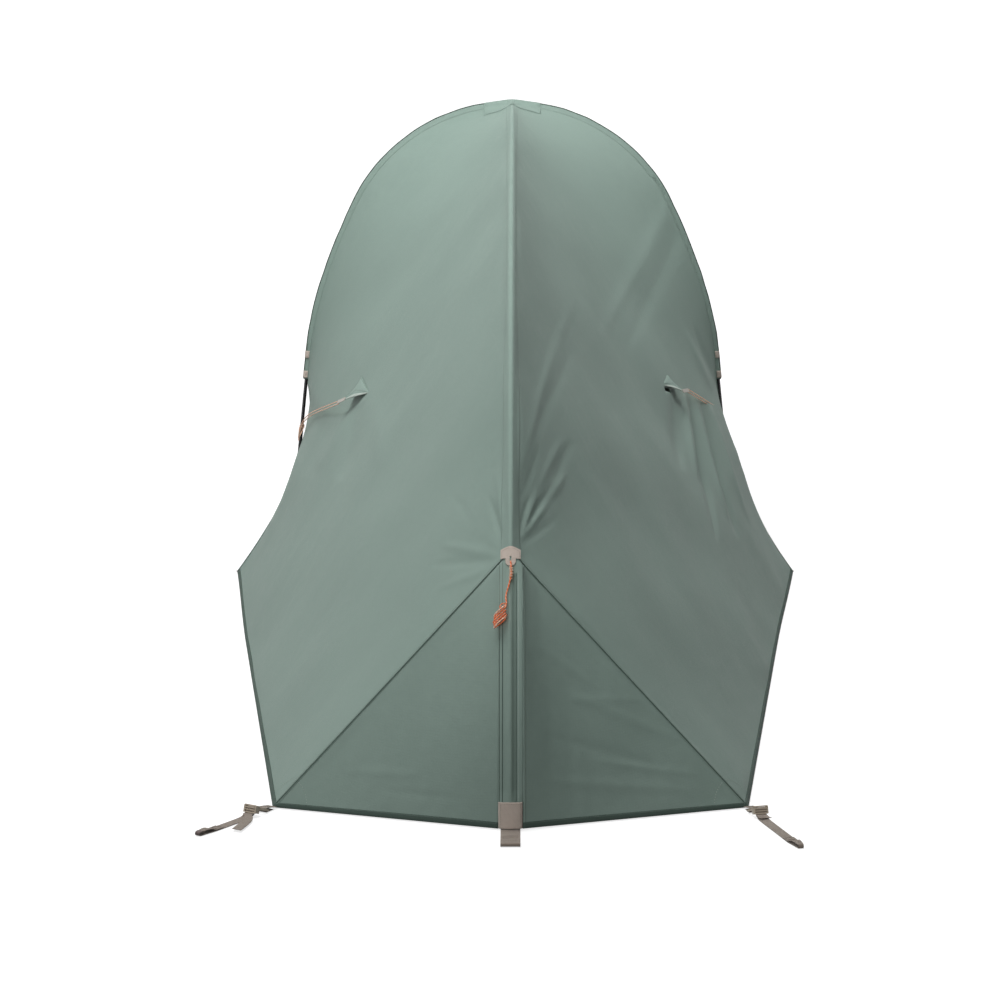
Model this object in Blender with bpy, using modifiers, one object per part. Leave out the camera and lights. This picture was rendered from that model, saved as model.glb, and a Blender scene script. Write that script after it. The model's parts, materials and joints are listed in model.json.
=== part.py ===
"""One-person tent: an arch pole across the head end, a ridge pole from the rear foot to the crown,
an outer fly stretched between them and an inner tent hung below the ridge. Metres, +Z up.
The origin is the middle of the floor's underside, and +Y runs from the rear peg to the front porch."""

import math

import bmesh
import bpy
import numpy as np

# Clearances
FIT = 0.0004
SEAM_GAP = 0.0014
GROUND_GAP = 0.0025

# Cloth, webbing and cord
FLY_THICKNESS = 0.0008
INNER_THICKNESS = 0.0006
WEBBING_THICKNESS = 0.0014
CORD_R = 0.00125

# Arch pole: a round crown, a shoulder down to the knee, then a straight leg
ARCH_Y = 1.15
CROWN_Z = 1.109
CROWN_R = 0.415
CROWN_SWEEP = math.radians(65)
KNEE_X = 0.4885
KNEE_Z = 0.52
KNEE_LEAN = math.radians(6.9)
FOOT_X = 0.5425
FOOT_Z = WEBBING_THICKNESS + 3 * FIT

# Ridge pole: a quarter ellipse from the rear foot to the crown
RIDGE_RUN = 2.40

# Pole sections
POLE_R = 0.00425
POLE_WALL = 0.00065
SPIGOT_LENGTH = 0.045
SPIGOT_SEAT = 0.030
SPIGOT_FIT = 0.0006
TIP_LENGTH = 0.016
TIP_SHANK = 0.022
TIP_POINT_R = 0.0022
RIDGE_SECTIONS = 4
ARCH_STATIONS = 20
RIDGE_STATIONS = 32

# Crown hub
HUB_R = 0.007
HUB_HALF = 0.015
HUB_STUB_R = 0.0052

# Sleeves on the poles
SLEEVE_R = 0.0056
SLEEVE_WALL = 0.0007
SLEEVE_END_Z = 0.4526
BAND_HALF_WIDTH = 0.022
BAND_HALF_DEPTH = 0.0062
BAND_START_Z = 0.012
BAND_BELOW_CAP = 0.020
TAB_HEIGHTS = (0.511, 0.463)
TAB_LENGTH = 0.015

# Fly
CAP_Z = 0.466
REAR_CORNER = (0.441, -1.103)
REAR_PANEL_DROP = 0.034
WING_CORNER = (0.666, 1.03)
WING_FLARE = math.radians(54)
WING_PULL_TOP = 0.20
WING_PULL_LOW = 0.13
PORCH_DEPTH = 0.85
PORCH_HALF_WIDTH = 0.40
GORE_FOOT = (0.50, 1.27)
DOOR_TOP_HALF = 0.012
DOOR_TOP_DROP = 0.0095
DOOR_TOP_Y = 0.0165
DOOR_START = 0.030
CROWN_PATCH_HALF = 0.066
CROWN_PATCH_REAR = 0.050
CROWN_PATCH_FRONT = 0.030
CROWN_PATCH_LIFT = 0.0080

# Rear cap over the seam crossing, and the foot pocket
CAP_HALF_WIDTH = 0.0185
CAP_RISE = 0.0085
CAP_SHOULDER = 0.005
CAP_HEIGHT = 0.0185
CAP_PEAK_HALF = 0.005
CAP_TONGUE_HALF = 0.0095
CAP_TONGUE = 0.0115
CAP_SLOT_HALF = 0.0016
CAP_SLOT = 0.0105
CAP_SLOT_LEDGE = 0.0040
POCKET_HALF_WIDTH = 0.0205
POCKET_HEIGHT = 0.047
POCKET_START_Z = 0.0045

# Rear centre strap
CENTRE_STRAP_WIDTH = 0.036
CENTRE_STRAP_REACH = 0.119

# Corner straps and ladder-lock buckles
CORNER_WEB_WIDTH = 0.020
CORNER_WEB = 0.0012
TAB_REACH = 0.032
BUCKLE_AXIS_Z = 0.0048
BUCKLE_RISE = math.radians(18)
BUCKLE_BAR = 0.0018
BUCKLE_SIDE = 0.003
BUCKLE_SIDE_GAP = 0.001
BUCKLE_MID_BAR = (0.0105, 0.0140)
BUCKLE_OUTER_BAR = (0.0235, 0.0310)
TAB_LOOP_R = 0.0036
CORNER_STRAPS = {
    "left": {
        "side": -1,
        "swing": math.radians(33),
        "seat": 0.0003,
        "reach": 0.229,
        "tail": 0.075,
        "splay": -0.042,
    },
    "right": {
        "side": 1,
        "swing": math.radians(16),
        "seat": 0.0016,
        "reach": 0.285,
        "tail": 0.022,
        "splay": 0.004,
    },
}

# Peg loops
LOOP_LENGTH = 0.044
LOOP_INSIDE = 0.0050
LAP_LENGTH = 0.022
FOOT_STRAP_WIDTH = 0.020
FOOT_STRAP_PAST = 0.078
FRONT_LOOP_REACH = 0.080
FRONT_LOOP_WAY = (0.45, 0.893)

# Vent hoods and their cords
VENT_ALONG = 0.735
VENT_DOWN = 0.52
VENT_LENGTH = 0.060
VENT_HEIGHT = 0.046
VENT_LIFT = 0.026
VENT_SLIT = (0.036, 0.010)
VENT_CORD_Z = 0.333
VENT_CORD_EDGE = 0.715
VENT_CORD_LIFT = 0.0024
VENT_CORD_APART = 0.0060
VENT_CORD_TURNS = 2
VENT_CORD_PITCH = 0.0040

# Rear guyline and its hank
HANK_LOOPS = 5
HANK_PITCH = 0.0033
HANK_LENGTH = 0.030
HANK_DEPTH = 0.0090
HANK_TILT = math.radians(46)
HANK_CENTRE_X = -0.0195
HANK_CENTRE_Z = 0.362
GUY_ROUTE = ((0.0, 0.4505), (0.0004, 0.441), (-0.0002, 0.429), (-0.004, 0.412), (-0.0070, 0.398))
POINTS_PER_LOOP = 24

# Door zip
ZIP_WIDTH = 0.006
ZIP_THICKNESS = 0.0012
SLIDER_SIZE = (0.0085, 0.014, 0.0036)
PULL_SIZE = (0.005, 0.024, 0.0012)

# Inner tent
FLOOR_LENGTH = 2.10
FLOOR_REAR_HALF = 0.32
FLOOR_FRONT_HALF = 0.46
FLOOR_THICKNESS = 0.0012
TUB_HEIGHT = 0.085
TUB_LEAN = 0.010
INNER_SETBACK = 0.22
INNER_DROP = 0.079
INNER_TOP = (ARCH_Y - INNER_SETBACK, CROWN_Z - INNER_DROP)
INNER_REAR_INSET = 0.020
INNER_RIDGE_GAP = 0.0014
INNER_RIM = TUB_HEIGHT + 2 * FIT
INNER_DOOR_SILL = 0.105
INNER_DOOR_HEIGHT = 0.54
INNER_DOOR_SIDE = 0.30
INNER_DOOR_LOW_HALF = 0.26
INNER_DOOR_TOP_HALF = 0.17
INNER_DOOR_GAP = 0.0010
INNER_SEAM = 0.0009
HANGER_SETBACKS = (0.45, 1.10, 1.70)
HANGER_WIDTH = 0.015


def clear_scene():
    """Removes every object that the file starts with."""
    for obj in list(bpy.data.objects):
        bpy.data.objects.remove(obj, do_unlink=True)


def new_collection(name):
    """A collection linked to the scene."""
    made = bpy.data.collections.new(name)
    bpy.context.scene.collection.children.link(made)
    return made


def material(name, colour, roughness, metallic=0.0):
    """A plain surface with a colour, a roughness and a metallic value."""
    made = bpy.data.materials.new(name)
    made.use_nodes = True
    shader = made.node_tree.nodes["Principled BSDF"]
    shader.inputs["Base Color"].default_value = (*colour, 1.0)
    shader.inputs["Roughness"].default_value = roughness
    shader.inputs["Metallic"].default_value = metallic
    made.diffuse_color = (*colour, 1.0)
    return made


def length_of(points):
    """The length of a polyline."""
    return float(np.linalg.norm(np.diff(points, axis=0), axis=1).sum())


def walk(points, start, end, count):
    """Evenly spaced points of a polyline between two distances from its first point."""
    points = np.asarray(points, float)
    steps = np.linalg.norm(np.diff(points, axis=0), axis=1)
    along = np.concatenate([[0.0], np.cumsum(steps)])
    wanted = np.linspace(start, end, count)
    return np.stack([np.interp(wanted, along, points[:, k]) for k in range(3)], axis=1)


def even(points, count):
    """The whole polyline as evenly spaced points."""
    return walk(points, 0.0, length_of(points), count)


def cut(points, start, end):
    """The stretch of a polyline between two distances, with its own corners, so that what shares an axis
    bends at the same places."""
    points = np.asarray(points, float)
    steps = np.linalg.norm(np.diff(points, axis=0), axis=1)
    along = np.concatenate([[0.0], np.cumsum(steps)])
    inside = points[(along > start + 0.0002) & (along < end - 0.0002)]
    return np.concatenate([walk(points, start, start, 1), inside, walk(points, end, end, 1)])


def distance_at_height(points, z):
    """The distance from a falling polyline's first point to where it reaches a height."""
    points = np.asarray(points, float)
    steps = np.linalg.norm(np.diff(points, axis=0), axis=1)
    along = np.concatenate([[0.0], np.cumsum(steps)])
    return float(np.interp(-z, -points[:, 2], along))


def bezier(a, b, c, d, count):
    """Points of a cubic curve with end points a and d and handles b and c."""
    t = np.linspace(0, 1, count)[:, None]
    a, b, c, d = (np.asarray(p, float) for p in (a, b, c, d))
    return (1 - t) ** 3 * a + 3 * (1 - t) ** 2 * t * b + 3 * (1 - t) * t**2 * c + t**3 * d


def mirrored(points, side):
    """Points for the right side (1) or, with X turned round, the left side (-1)."""
    return np.asarray(points, float) * np.array([side, 1.0, 1.0])


def arch_axis():
    """The arch pole's axis from the crown to the right foot."""
    turn = np.linspace(0, CROWN_SWEEP, 25)
    crown = np.stack(
        [CROWN_R * np.sin(turn), np.full(25, ARCH_Y), CROWN_Z - CROWN_R * (1 - np.cos(turn))],
        axis=1,
    )
    start = crown[-1]
    knee = np.array([KNEE_X, ARCH_Y, KNEE_Z])
    reach = np.linalg.norm(knee - start) / 3
    leaving = np.array([math.cos(CROWN_SWEEP), 0.0, -math.sin(CROWN_SWEEP)])
    arriving = np.array([math.sin(KNEE_LEAN), 0.0, -math.cos(KNEE_LEAN)])
    shoulder = bezier(start, start + reach * leaving, knee - reach * arriving, knee, 17)
    foot = np.array([[FOOT_X, ARCH_Y, FOOT_Z]])
    return even(np.concatenate([crown, shoulder[1:], foot]), ARCH_STATIONS + 1)


def ridge_point(turn):
    """A point of the ridge pole's axis: turn runs from 0 at the rear foot to a quarter turn at the crown."""
    return np.array([0.0, ARCH_Y - RIDGE_RUN * math.cos(turn), CROWN_Z * math.sin(turn)])


def ridge_axis():
    """The ridge pole's axis from the rear foot to the crown."""
    turns = np.linspace(0, math.pi / 2, RIDGE_STATIONS + 1)
    return np.array([ridge_point(turn) for turn in turns])


def ridge_distance(z):
    """The distance along the ridge axis from the rear foot to a height."""
    ridge = ridge_axis()
    steps = np.linalg.norm(np.diff(ridge, axis=0), axis=1)
    along = np.concatenate([[0.0], np.cumsum(steps)])
    return float(np.interp(z, ridge[:, 2], along))


def on_ridge(z):
    """The point of the ridge axis at a height, and the unit vector square to it out of the tent."""
    spot = ridge_distance(z)
    before, here, after = walk(ridge_axis(), spot - 0.012, spot + 0.012, 3)
    slope = after - before
    outward = np.array([0.0, -slope[2], slope[1]])
    return here, outward / np.linalg.norm(outward)


def cap_point():
    """Where the diagonal seams cross the ridge."""
    return on_ridge(CAP_Z)[0]


def seam_line(side, count):
    """The diagonal seam from the cap to a rear corner."""
    top = cap_point() + np.array([SLEEVE_R + FIT, 0.0, 0.0])
    corner = np.array([*REAR_CORNER, GROUND_GAP])
    share = np.linspace(0, 1, count)[:, None]
    return mirrored(top + (corner - top) * share, side)


def wing_edge():
    """The rear fly's free edge, from the arch sleeve's end to the right wing corner."""
    arch = arch_axis()
    end = walk(arch, 0.0, distance_at_height(arch, SLEEVE_END_Z), 2)[-1]
    top = end - np.array([0.004, SLEEVE_R + FIT, 0.0])
    corner = np.array([*WING_CORNER, GROUND_GAP])
    first = top - np.array([0.0, 0.012, WING_PULL_TOP])
    flare = np.array([-math.cos(WING_FLARE), 0.23, math.sin(WING_FLARE)])
    return bezier(top, first, corner + WING_PULL_LOW * flare, corner, 25)


def gore_edge():
    """The front gore's free edge, from the arch sleeve's end to the ground."""
    arch = arch_axis()
    end = walk(arch, 0.0, distance_at_height(arch, SLEEVE_END_Z), 2)[-1]
    top = end + np.array([-0.004, SLEEVE_R + FIT, 0.0])
    foot = np.array([*GORE_FOOT, GROUND_GAP])
    middle = np.array([top[0] - 0.012, (top[1] + foot[1]) / 2 - 0.02, (top[2] + foot[2]) / 2])
    return bezier(top, middle, middle, foot, 17)


def arch_line(y_offset, start, count):
    """The arch axis moved along Y, from a distance past the crown to the sleeve's end."""
    arch = arch_axis()
    end = distance_at_height(arch, SLEEVE_END_Z)
    line = walk(arch, start, end, count)
    share = np.linspace(0, 1, count)
    drawn_in = share**6 * 0.004
    round_hub = (HUB_R - SLEEVE_R + FIT) * (1 - share) * math.copysign(1.0, y_offset)
    return line + np.stack([-drawn_in, y_offset + round_hub, np.zeros(count)], axis=1)


def stretched(first, last, low, high, rounds=600):
    """A cloth surface pulled tight between four edges: grid[i, j], first and last are the edges at the
    two ends of i, low and high those at the two ends of j."""
    rows, columns = len(low), len(first)
    u = np.linspace(0, 1, rows)[:, None, None]
    v = np.linspace(0, 1, columns)[None, :, None]
    grid = (1 - u) * first[None] + u * last[None] + (1 - v) * low[:, None] + v * high[:, None]
    grid -= (1 - u) * (1 - v) * low[0] + u * (1 - v) * low[-1]
    grid -= (1 - u) * v * high[0] + u * v * high[-1]
    for _ in range(rounds):
        around = grid[2:, 1:-1] + grid[:-2, 1:-1] + grid[1:-1, 2:] + grid[1:-1, :-2]
        grid[1:-1, 1:-1] = around / 4
    return grid


def add_mesh(name, mesh, surface):
    """An object in the tent's collection with one material."""
    mesh.materials.append(surface)
    made = bpy.data.objects.new(name, mesh)
    PARTS.objects.link(made)
    return made


def cloth(name, grid, thickness, surface, left_out=(), closed=False, offset=0.0):
    """A sheet through a grid of points, given its thickness. left_out lists cells that stay open, and a
    closed sheet joins its last column to its first."""
    rows, columns = grid.shape[:2]
    shape = bmesh.new()
    points = [[shape.verts.new(grid[i, j]) for j in range(columns)] for i in range(rows)]
    for i in range(rows - 1):
        for j in range(columns if closed else columns - 1):
            if (i, j) in left_out:
                continue
            k = (j + 1) % columns
            shape.faces.new((points[i][j], points[i + 1][j], points[i + 1][k], points[i][k]))
    mesh = bpy.data.meshes.new(name)
    shape.to_mesh(mesh)
    shape.free()
    mesh.shade_smooth()
    mesh.set_sharp_from_angle(angle=math.radians(40))
    made = add_mesh(name, mesh, surface)
    solid = made.modifiers.new("Thickness", "SOLIDIFY")
    solid.thickness = thickness
    solid.offset = offset
    return made


def ribbon(name, centres, across, width, surface, thickness=WEBBING_THICKNESS, cells=2):
    """A strip of webbing along a line of points, with its width along one direction."""
    across = np.asarray(across, float)
    across = across / np.linalg.norm(across)
    shares = np.linspace(-0.5, 0.5, cells + 1)
    grid = np.array([[c + across * width * share for share in shares] for c in centres])
    return cloth(name, grid, thickness, surface)


def curve_object(name, points, radii, surface, resolution=2, capped=True):
    """A round rod or tube along a line of points, with a radius at each point."""
    data = bpy.data.curves.new(name, "CURVE")
    data.dimensions = "3D"
    data.bevel_depth = max(radii)
    data.bevel_resolution = resolution
    data.use_fill_caps = capped
    spline = data.splines.new("POLY")
    spline.points.add(len(points) - 1)
    for spot, point, radius in zip(spline.points, points, radii):
        spot.co = (*point, 1.0)
        spot.radius = radius / max(radii)
    data.materials.append(surface)
    made = bpy.data.objects.new(name, data)
    PARTS.objects.link(made)
    return made


def rod(name, points, radius, surface, resolution=2):
    """A solid round rod of one radius."""
    return curve_object(name, points, [radius] * len(points), surface, resolution)


def tube(name, points, outer, wall, surface, resolution=2):
    """A hollow round tube with open ends."""
    made = curve_object(name, points, [outer] * len(points), surface, resolution, capped=False)
    solid = made.modifiers.new("Wall", "SOLIDIFY")
    solid.thickness = wall
    solid.offset = -1.0
    return made


def as_mesh(obj):
    """The same object with its curve and modifiers made into one welded mesh."""
    bpy.context.view_layer.update()
    graph = bpy.context.evaluated_depsgraph_get()
    mesh = bpy.data.meshes.new_from_object(obj.evaluated_get(graph))
    shape = bmesh.new()
    shape.from_mesh(mesh)
    bmesh.ops.remove_doubles(shape, verts=shape.verts, dist=0.00002)
    bmesh.ops.recalc_face_normals(shape, faces=shape.faces)
    shape.to_mesh(mesh)
    shape.free()
    name = obj.name
    where = obj.matrix_world.copy()
    bpy.data.objects.remove(obj)
    made = bpy.data.objects.new(name, mesh)
    made.matrix_world = where
    PARTS.objects.link(made)
    return made


def box(name, size, surface, frame, bevel=0.0):
    """A box of a given size, centred in a local frame (origin and three unit axes)."""
    shape = bmesh.new()
    bmesh.ops.create_cube(shape, size=1.0)
    for vert in shape.verts:
        local = [vert.co[k] * size[k] for k in range(3)]
        vert.co = place(frame, local)
    shape.normal_update()
    bmesh.ops.recalc_face_normals(shape, faces=shape.faces)
    mesh = bpy.data.meshes.new(name)
    shape.to_mesh(mesh)
    shape.free()
    made = add_mesh(name, mesh, surface)
    if bevel:
        rounded = made.modifiers.new("Rounded", "BEVEL")
        rounded.width = bevel
        rounded.segments = 1
    return made


def place(frame, local):
    """A local point in world coordinates: frame is (origin, axis 1, axis 2, axis 3)."""
    origin, one, two, three = (np.asarray(part, float) for part in frame)
    return origin + one * local[0] + two * local[1] + three * local[2]


def boolean(target, operand, operation):
    """Adds or cuts another mesh, which is then kept as a hidden guide."""
    change = target.modifiers.new(operation.title(), "BOOLEAN")
    change.operation = operation
    change.object = operand
    change.solver = "EXACT"
    PARTS.objects.unlink(operand)
    CUTTERS.objects.link(operand)
    operand.hide_render = True
    operand.display_type = "WIRE"


def pole_section(name, axis, start, end, surface, spigot):
    """One hollow pole section, with a glued-in spigot at its far end where another section follows."""
    section = tube(name, cut(axis, start, end), POLE_R, POLE_WALL, surface)
    if not spigot:
        return section
    section = as_mesh(section)
    bore = POLE_R - POLE_WALL
    seat = cut(axis, end - SPIGOT_SEAT, end - 0.0010)
    free = cut(axis, end - 0.0007, end + SPIGOT_LENGTH)
    points = np.concatenate([seat, free])
    radii = [bore + 0.0003] * len(seat) + [bore - SPIGOT_FIT] * len(free)
    boolean(section, as_mesh(curve_object(name + "_spigot", points, radii, surface)), "UNION")
    return section


def pole_tip(name, axis, start, surface):
    """A tip pressed into a pole's open end, with a rounded point."""
    shank = POLE_R - POLE_WALL - SPIGOT_FIT
    end = length_of(axis)
    inside = cut(axis, start - TIP_SHANK, start + FIT)
    spots = [start + FIT + 0.0002, end - 0.004, end - 0.001, end]
    points = [*inside, *(walk(axis, spot, spot, 1)[0] for spot in spots)]
    radii = [shank] * len(inside) + [POLE_R, POLE_R, 0.8 * POLE_R, TIP_POINT_R]
    return curve_object(name, points, radii, surface)


def make_arch_pole(surface, tip_surface):
    """Both halves of the arch pole, each in two sections with a tip."""
    axis = arch_axis()
    start = HUB_HALF + FIT
    end = length_of(axis) - TIP_LENGTH
    middle = (start + end) / 2
    for label, side in SIDES.items():
        half = mirrored(axis, side)
        pole_section(f"arch_pole_{label}_upper", half, start, middle, surface, True)
        pole_section(f"arch_pole_{label}_lower", half, middle + FIT, end, surface, False)
        pole_tip(f"pole_tip_{label}", half, end, tip_surface)


def make_ridge_pole(surface, tip_surface):
    """The ridge pole's sections from the rear tip to the hub."""
    axis = ridge_axis()
    end = length_of(axis) - HUB_HALF - FIT
    ends = np.linspace(TIP_LENGTH, end, RIDGE_SECTIONS + 1)
    for k in range(RIDGE_SECTIONS):
        last = k == RIDGE_SECTIONS - 1
        start = ends[k] + (FIT if k else 0.0)
        pole_section(f"ridge_pole_{k + 1}", axis, start, ends[k + 1], surface, not last)
    backwards = cut(axis, ridge_distance(FOOT_Z), length_of(axis))[::-1]
    pole_tip("pole_tip_rear", backwards, length_of(axis) - TIP_LENGTH, tip_surface)


def make_hub(surface):
    """The crown hub: a body across the arch, a stub to the rear and a spigot into each pole."""
    centre = np.array([0.0, ARCH_Y, CROWN_Z])
    spigot = POLE_R - POLE_WALL - SPIGOT_FIT
    ends = [centre - np.array([HUB_HALF, 0, 0]), centre + np.array([HUB_HALF, 0, 0])]
    hub = as_mesh(rod("pole_hub", ends, HUB_R, surface, resolution=4))
    axis = arch_axis()
    for side in SIDES.values():
        line = mirrored(cut(axis, HUB_HALF - 0.006, HUB_HALF + 0.016), side)
        boolean(hub, as_mesh(rod("hub_spigot", line, spigot, surface)), "UNION")
    stub = [centre, centre - np.array([0, HUB_HALF, 0])]
    boolean(hub, as_mesh(rod("hub_stub", stub, HUB_STUB_R, surface, resolution=4)), "UNION")
    ridge = ridge_axis()
    top = length_of(ridge)
    rear = cut(ridge, top - HUB_HALF - 0.016, top - HUB_HALF + 0.006)
    boolean(hub, as_mesh(rod("hub_rear_spigot", rear, spigot, surface)), "UNION")
    return hub


def make_sleeves(surface):
    """The arch sleeves, the ridge sleeve above the cap and the flat band below it."""
    arch = arch_axis()
    end = distance_at_height(arch, SLEEVE_END_Z)
    for label, side in SIDES.items():
        line = mirrored(cut(arch, HUB_HALF + 0.003, end), side)
        tube(f"arch_sleeve_{label}", line, SLEEVE_R, SLEEVE_WALL, surface)
    ridge = ridge_axis()
    line = cut(ridge, ridge_distance(CAP_Z), length_of(ridge) - HUB_HALF - 0.003)
    tube("ridge_sleeve", line, SLEEVE_R, SLEEVE_WALL, surface)
    line = cut(ridge, ridge_distance(BAND_START_Z), ridge_distance(CAP_Z - BAND_BELOW_CAP))
    rings = [band_ring(point[2], 16) for point in line]
    cloth("rear_sleeve", np.array(rings), SLEEVE_WALL, surface, closed=True, offset=-1.0)


def band_ring(z, count):
    """A flat oval round the ridge axis, the section of the band below the cap."""
    angles = np.arange(count) * 2 * math.pi / count
    centre, outward = on_ridge(z)
    return [
        centre
        + np.array([BAND_HALF_WIDTH * math.cos(a), 0, 0])
        + outward * BAND_HALF_DEPTH * math.sin(a)
        for a in angles
    ]


def band_surface(z, x, lift):
    """A point above the band's outer face, at a height and a distance x from the middle."""
    share = min(abs(x) / BAND_HALF_WIDTH, 0.999)
    depth = BAND_HALF_DEPTH * math.sqrt(1 - share**2)
    centre, outward = on_ridge(z)
    return centre + np.array([x, 0, 0]) + outward * (depth + lift)


def make_sleeve_tabs(surface):
    """The two webbing tabs round the outer side of each arch sleeve's end."""
    arch = arch_axis()
    radius = SLEEVE_R + FIT + WEBBING_THICKNESS / 2
    for label, side in SIDES.items():
        for name, z in zip(("upper", "lower"), TAB_HEIGHTS):
            middle = distance_at_height(arch, z)
            line = walk(arch, middle - TAB_LENGTH / 2, middle + TAB_LENGTH / 2, 2)
            angles = np.radians(np.linspace(-60, 60, 6))
            grid = [
                [c + np.array([radius * math.cos(a), radius * math.sin(a), 0]) for a in angles]
                for c in line
            ]
            cloth(f"sleeve_tab_{label}_{name}", mirrored(grid, side), WEBBING_THICKNESS, surface)


def side_grid(side):
    """The fly's side panel between ridge, arch, hem and diagonal seam."""
    edge = SLEEVE_R + FIT
    rows, columns = 15, 11
    ridge = ridge_axis()
    stop = length_of(ridge) - HUB_R - 2 * FIT
    low = walk(ridge, ridge_distance(CAP_Z), stop, rows) + np.array([edge, 0, 0])
    upper = arch_line(-edge, edge, 60)
    outer = np.concatenate([upper, wing_edge()[1:]])
    outer[0] = low[-1]
    last = even(outer, columns)
    first = seam_line(1, columns)
    hem = np.linspace(0, 1, rows)[:, None] * (last[-1] - first[-1]) + first[-1]
    return mirrored(stretched(first, last, low, hem), side)


def rear_grid(side):
    """The rear triangle between the band, the hem and the diagonal seam."""
    rows, columns = 8, 8
    seam = seam_line(1, 101)
    inward = np.array([0.0, ridge_point(0.0)[1], 0.0]) - seam[0]
    along = (seam[-1] - seam[0]) / np.linalg.norm(seam[-1] - seam[0])
    inward = inward - along * (inward @ along)
    inward = inward / np.linalg.norm(inward)
    seam = seam + inward * SEAM_GAP
    seam[-1, 2] = GROUND_GAP
    edge_x = BAND_HALF_WIDTH + FIT
    band = cut(ridge_axis(), ridge_distance(GROUND_GAP), ridge_distance(CAP_Z - REAR_PANEL_DROP))[::-1]
    first = even(band + np.array([edge_x, 0, 0]), columns)
    last = even(seam[8:], columns)
    top = np.linspace(0, 1, rows)[:, None] * (last[0] - first[0]) + first[0]
    hem = np.linspace(0, 1, rows)[:, None] * (last[-1] - first[-1]) + first[-1]
    return mirrored(stretched(first, last, top, hem), side)


def zip_line(count):
    """The right edge of the front door, from the crown to the front corner."""
    top = np.array([DOOR_TOP_HALF, ARCH_Y + DOOR_TOP_Y, CROWN_Z - DOOR_TOP_DROP])
    foot = np.array([PORCH_HALF_WIDTH, ARCH_Y + PORCH_DEPTH, GROUND_GAP])
    return np.linspace(0, 1, count)[:, None] * (foot - top) + top


def door_normal():
    """The unit vector out of the front door."""
    line = zip_line(2)
    slope = line[1] - line[0]
    normal = np.array([0.0, -slope[2], slope[1]])
    return normal / np.linalg.norm(normal)


def gore_grid(side):
    """The front gore between the arch, the ground and the door's edge."""
    rows, columns = 9, 9
    line = zip_line(101)
    line = line + np.array([SEAM_GAP, 0, 0])
    first = even(cut(line, DOOR_START, length_of(line)), columns)
    upper = arch_line(SLEEVE_R + FIT, DOOR_START, 60)
    outer = np.concatenate([upper, gore_edge()[1:]])
    last = even(outer, columns)
    top = np.linspace(0, 1, rows)[:, None] * (last[0] - first[0]) + first[0]
    hem = np.linspace(0, 1, rows)[:, None] * (last[-1] - first[-1]) + first[-1]
    return mirrored(stretched(first, last, top, hem), side)


def make_fly(surface):
    """Side panels, rear triangles, front gores and the front door."""
    for label, side in SIDES.items():
        panel = cloth(f"fly_side_{label}", side_grid(side), FLY_THICKNESS, surface)
        boolean(panel, vent_cutter(side, surface), "DIFFERENCE")
        cloth(f"fly_rear_{label}", rear_grid(side), FLY_THICKNESS, surface)
        cloth(f"fly_front_{label}", gore_grid(side), FLY_THICKNESS, surface)
    edge = zip_line(2)
    right = walk(edge, DOOR_START, length_of(edge), 9)
    left = mirrored(right, -1)
    door = np.stack([left, (2 * left + right) / 3, (left + 2 * right) / 3, right], axis=1)
    cloth("fly_door", door, FLY_THICKNESS, surface)


def make_crown_patch(surface):
    """The saddle of cloth over the hub."""
    arch = arch_axis()
    normal = door_normal()
    downhill = np.array([0.0, normal[2], -normal[1]])
    lift = CROWN_PATCH_LIFT
    bend = np.array([0.0, 0.0140, 0.0])
    profile = [
        np.array([0, -CROWN_PATCH_REAR, lift]),
        np.array([0, -0.5 * CROWN_PATCH_REAR, lift]),
        np.array([0, 0.0, lift]),
        np.array([0, 0.0085, 0.75 * lift]),
        bend,
        bend + downhill * CROWN_PATCH_FRONT,
    ]
    grid = []
    for x in np.linspace(-CROWN_PATCH_HALF, CROWN_PATCH_HALF, 9):
        drop = CROWN_R - math.sqrt(CROWN_R**2 - x**2)
        centre = np.array([x, ARCH_Y, arch[0][2] - drop])
        grid.append([centre + step for step in profile])
    cloth("crown_patch", np.array(grid), FLY_THICKNESS, surface)


def make_rear_cap(surface):
    """The shield over the seam crossing, with a slotted tongue for the guyline."""
    top = CAP_Z + CAP_RISE
    step = top - CAP_HEIGHT
    low = step - CAP_TONGUE
    heights = [top, top - CAP_SHOULDER, low + CAP_SLOT_LEDGE + CAP_SLOT, step, step - FIT]
    heights += [low + CAP_SLOT_LEDGE, low]
    halves = [CAP_PEAK_HALF, CAP_HALF_WIDTH, CAP_HALF_WIDTH, CAP_HALF_WIDTH, CAP_TONGUE_HALF]
    halves += [CAP_TONGUE_HALF, 0.7 * CAP_TONGUE_HALF]
    grid = []
    for z, half in zip(heights, halves):
        columns = [-half, -0.6 * half, -CAP_SLOT_HALF, CAP_SLOT_HALF, 0.6 * half, half]
        grid.append([band_surface(z, x, WEBBING_THICKNESS / 2 + 2 * FIT) for x in columns])
    return cloth("rear_cap", np.array(grid), WEBBING_THICKNESS, surface, left_out={(2, 2), (3, 2), (4, 2)})


def make_rear_foot(pocket_surface, web_surface):
    """The pocket over the ridge pole's foot and the centre peg strap under it."""
    xs = np.linspace(-POCKET_HALF_WIDTH, POCKET_HALF_WIDTH, 7)
    heights = np.linspace(POCKET_START_Z, POCKET_START_Z + POCKET_HEIGHT, 4)
    lift = WEBBING_THICKNESS / 2 + 2 * FIT
    grid = np.array([[band_surface(z, x, lift) for x in xs] for z in heights])
    cloth("rear_pocket", grid, WEBBING_THICKNESS, pocket_surface)
    start = ridge_point(0.0)[1] + 0.022
    reach = CENTRE_STRAP_REACH + 0.022
    line = [np.array([0.0, start - s, z]) for s, z in peg_loop(reach)]
    ribbon("rear_strap", line, (1, 0, 0), CENTRE_STRAP_WIDTH, web_surface)


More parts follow.
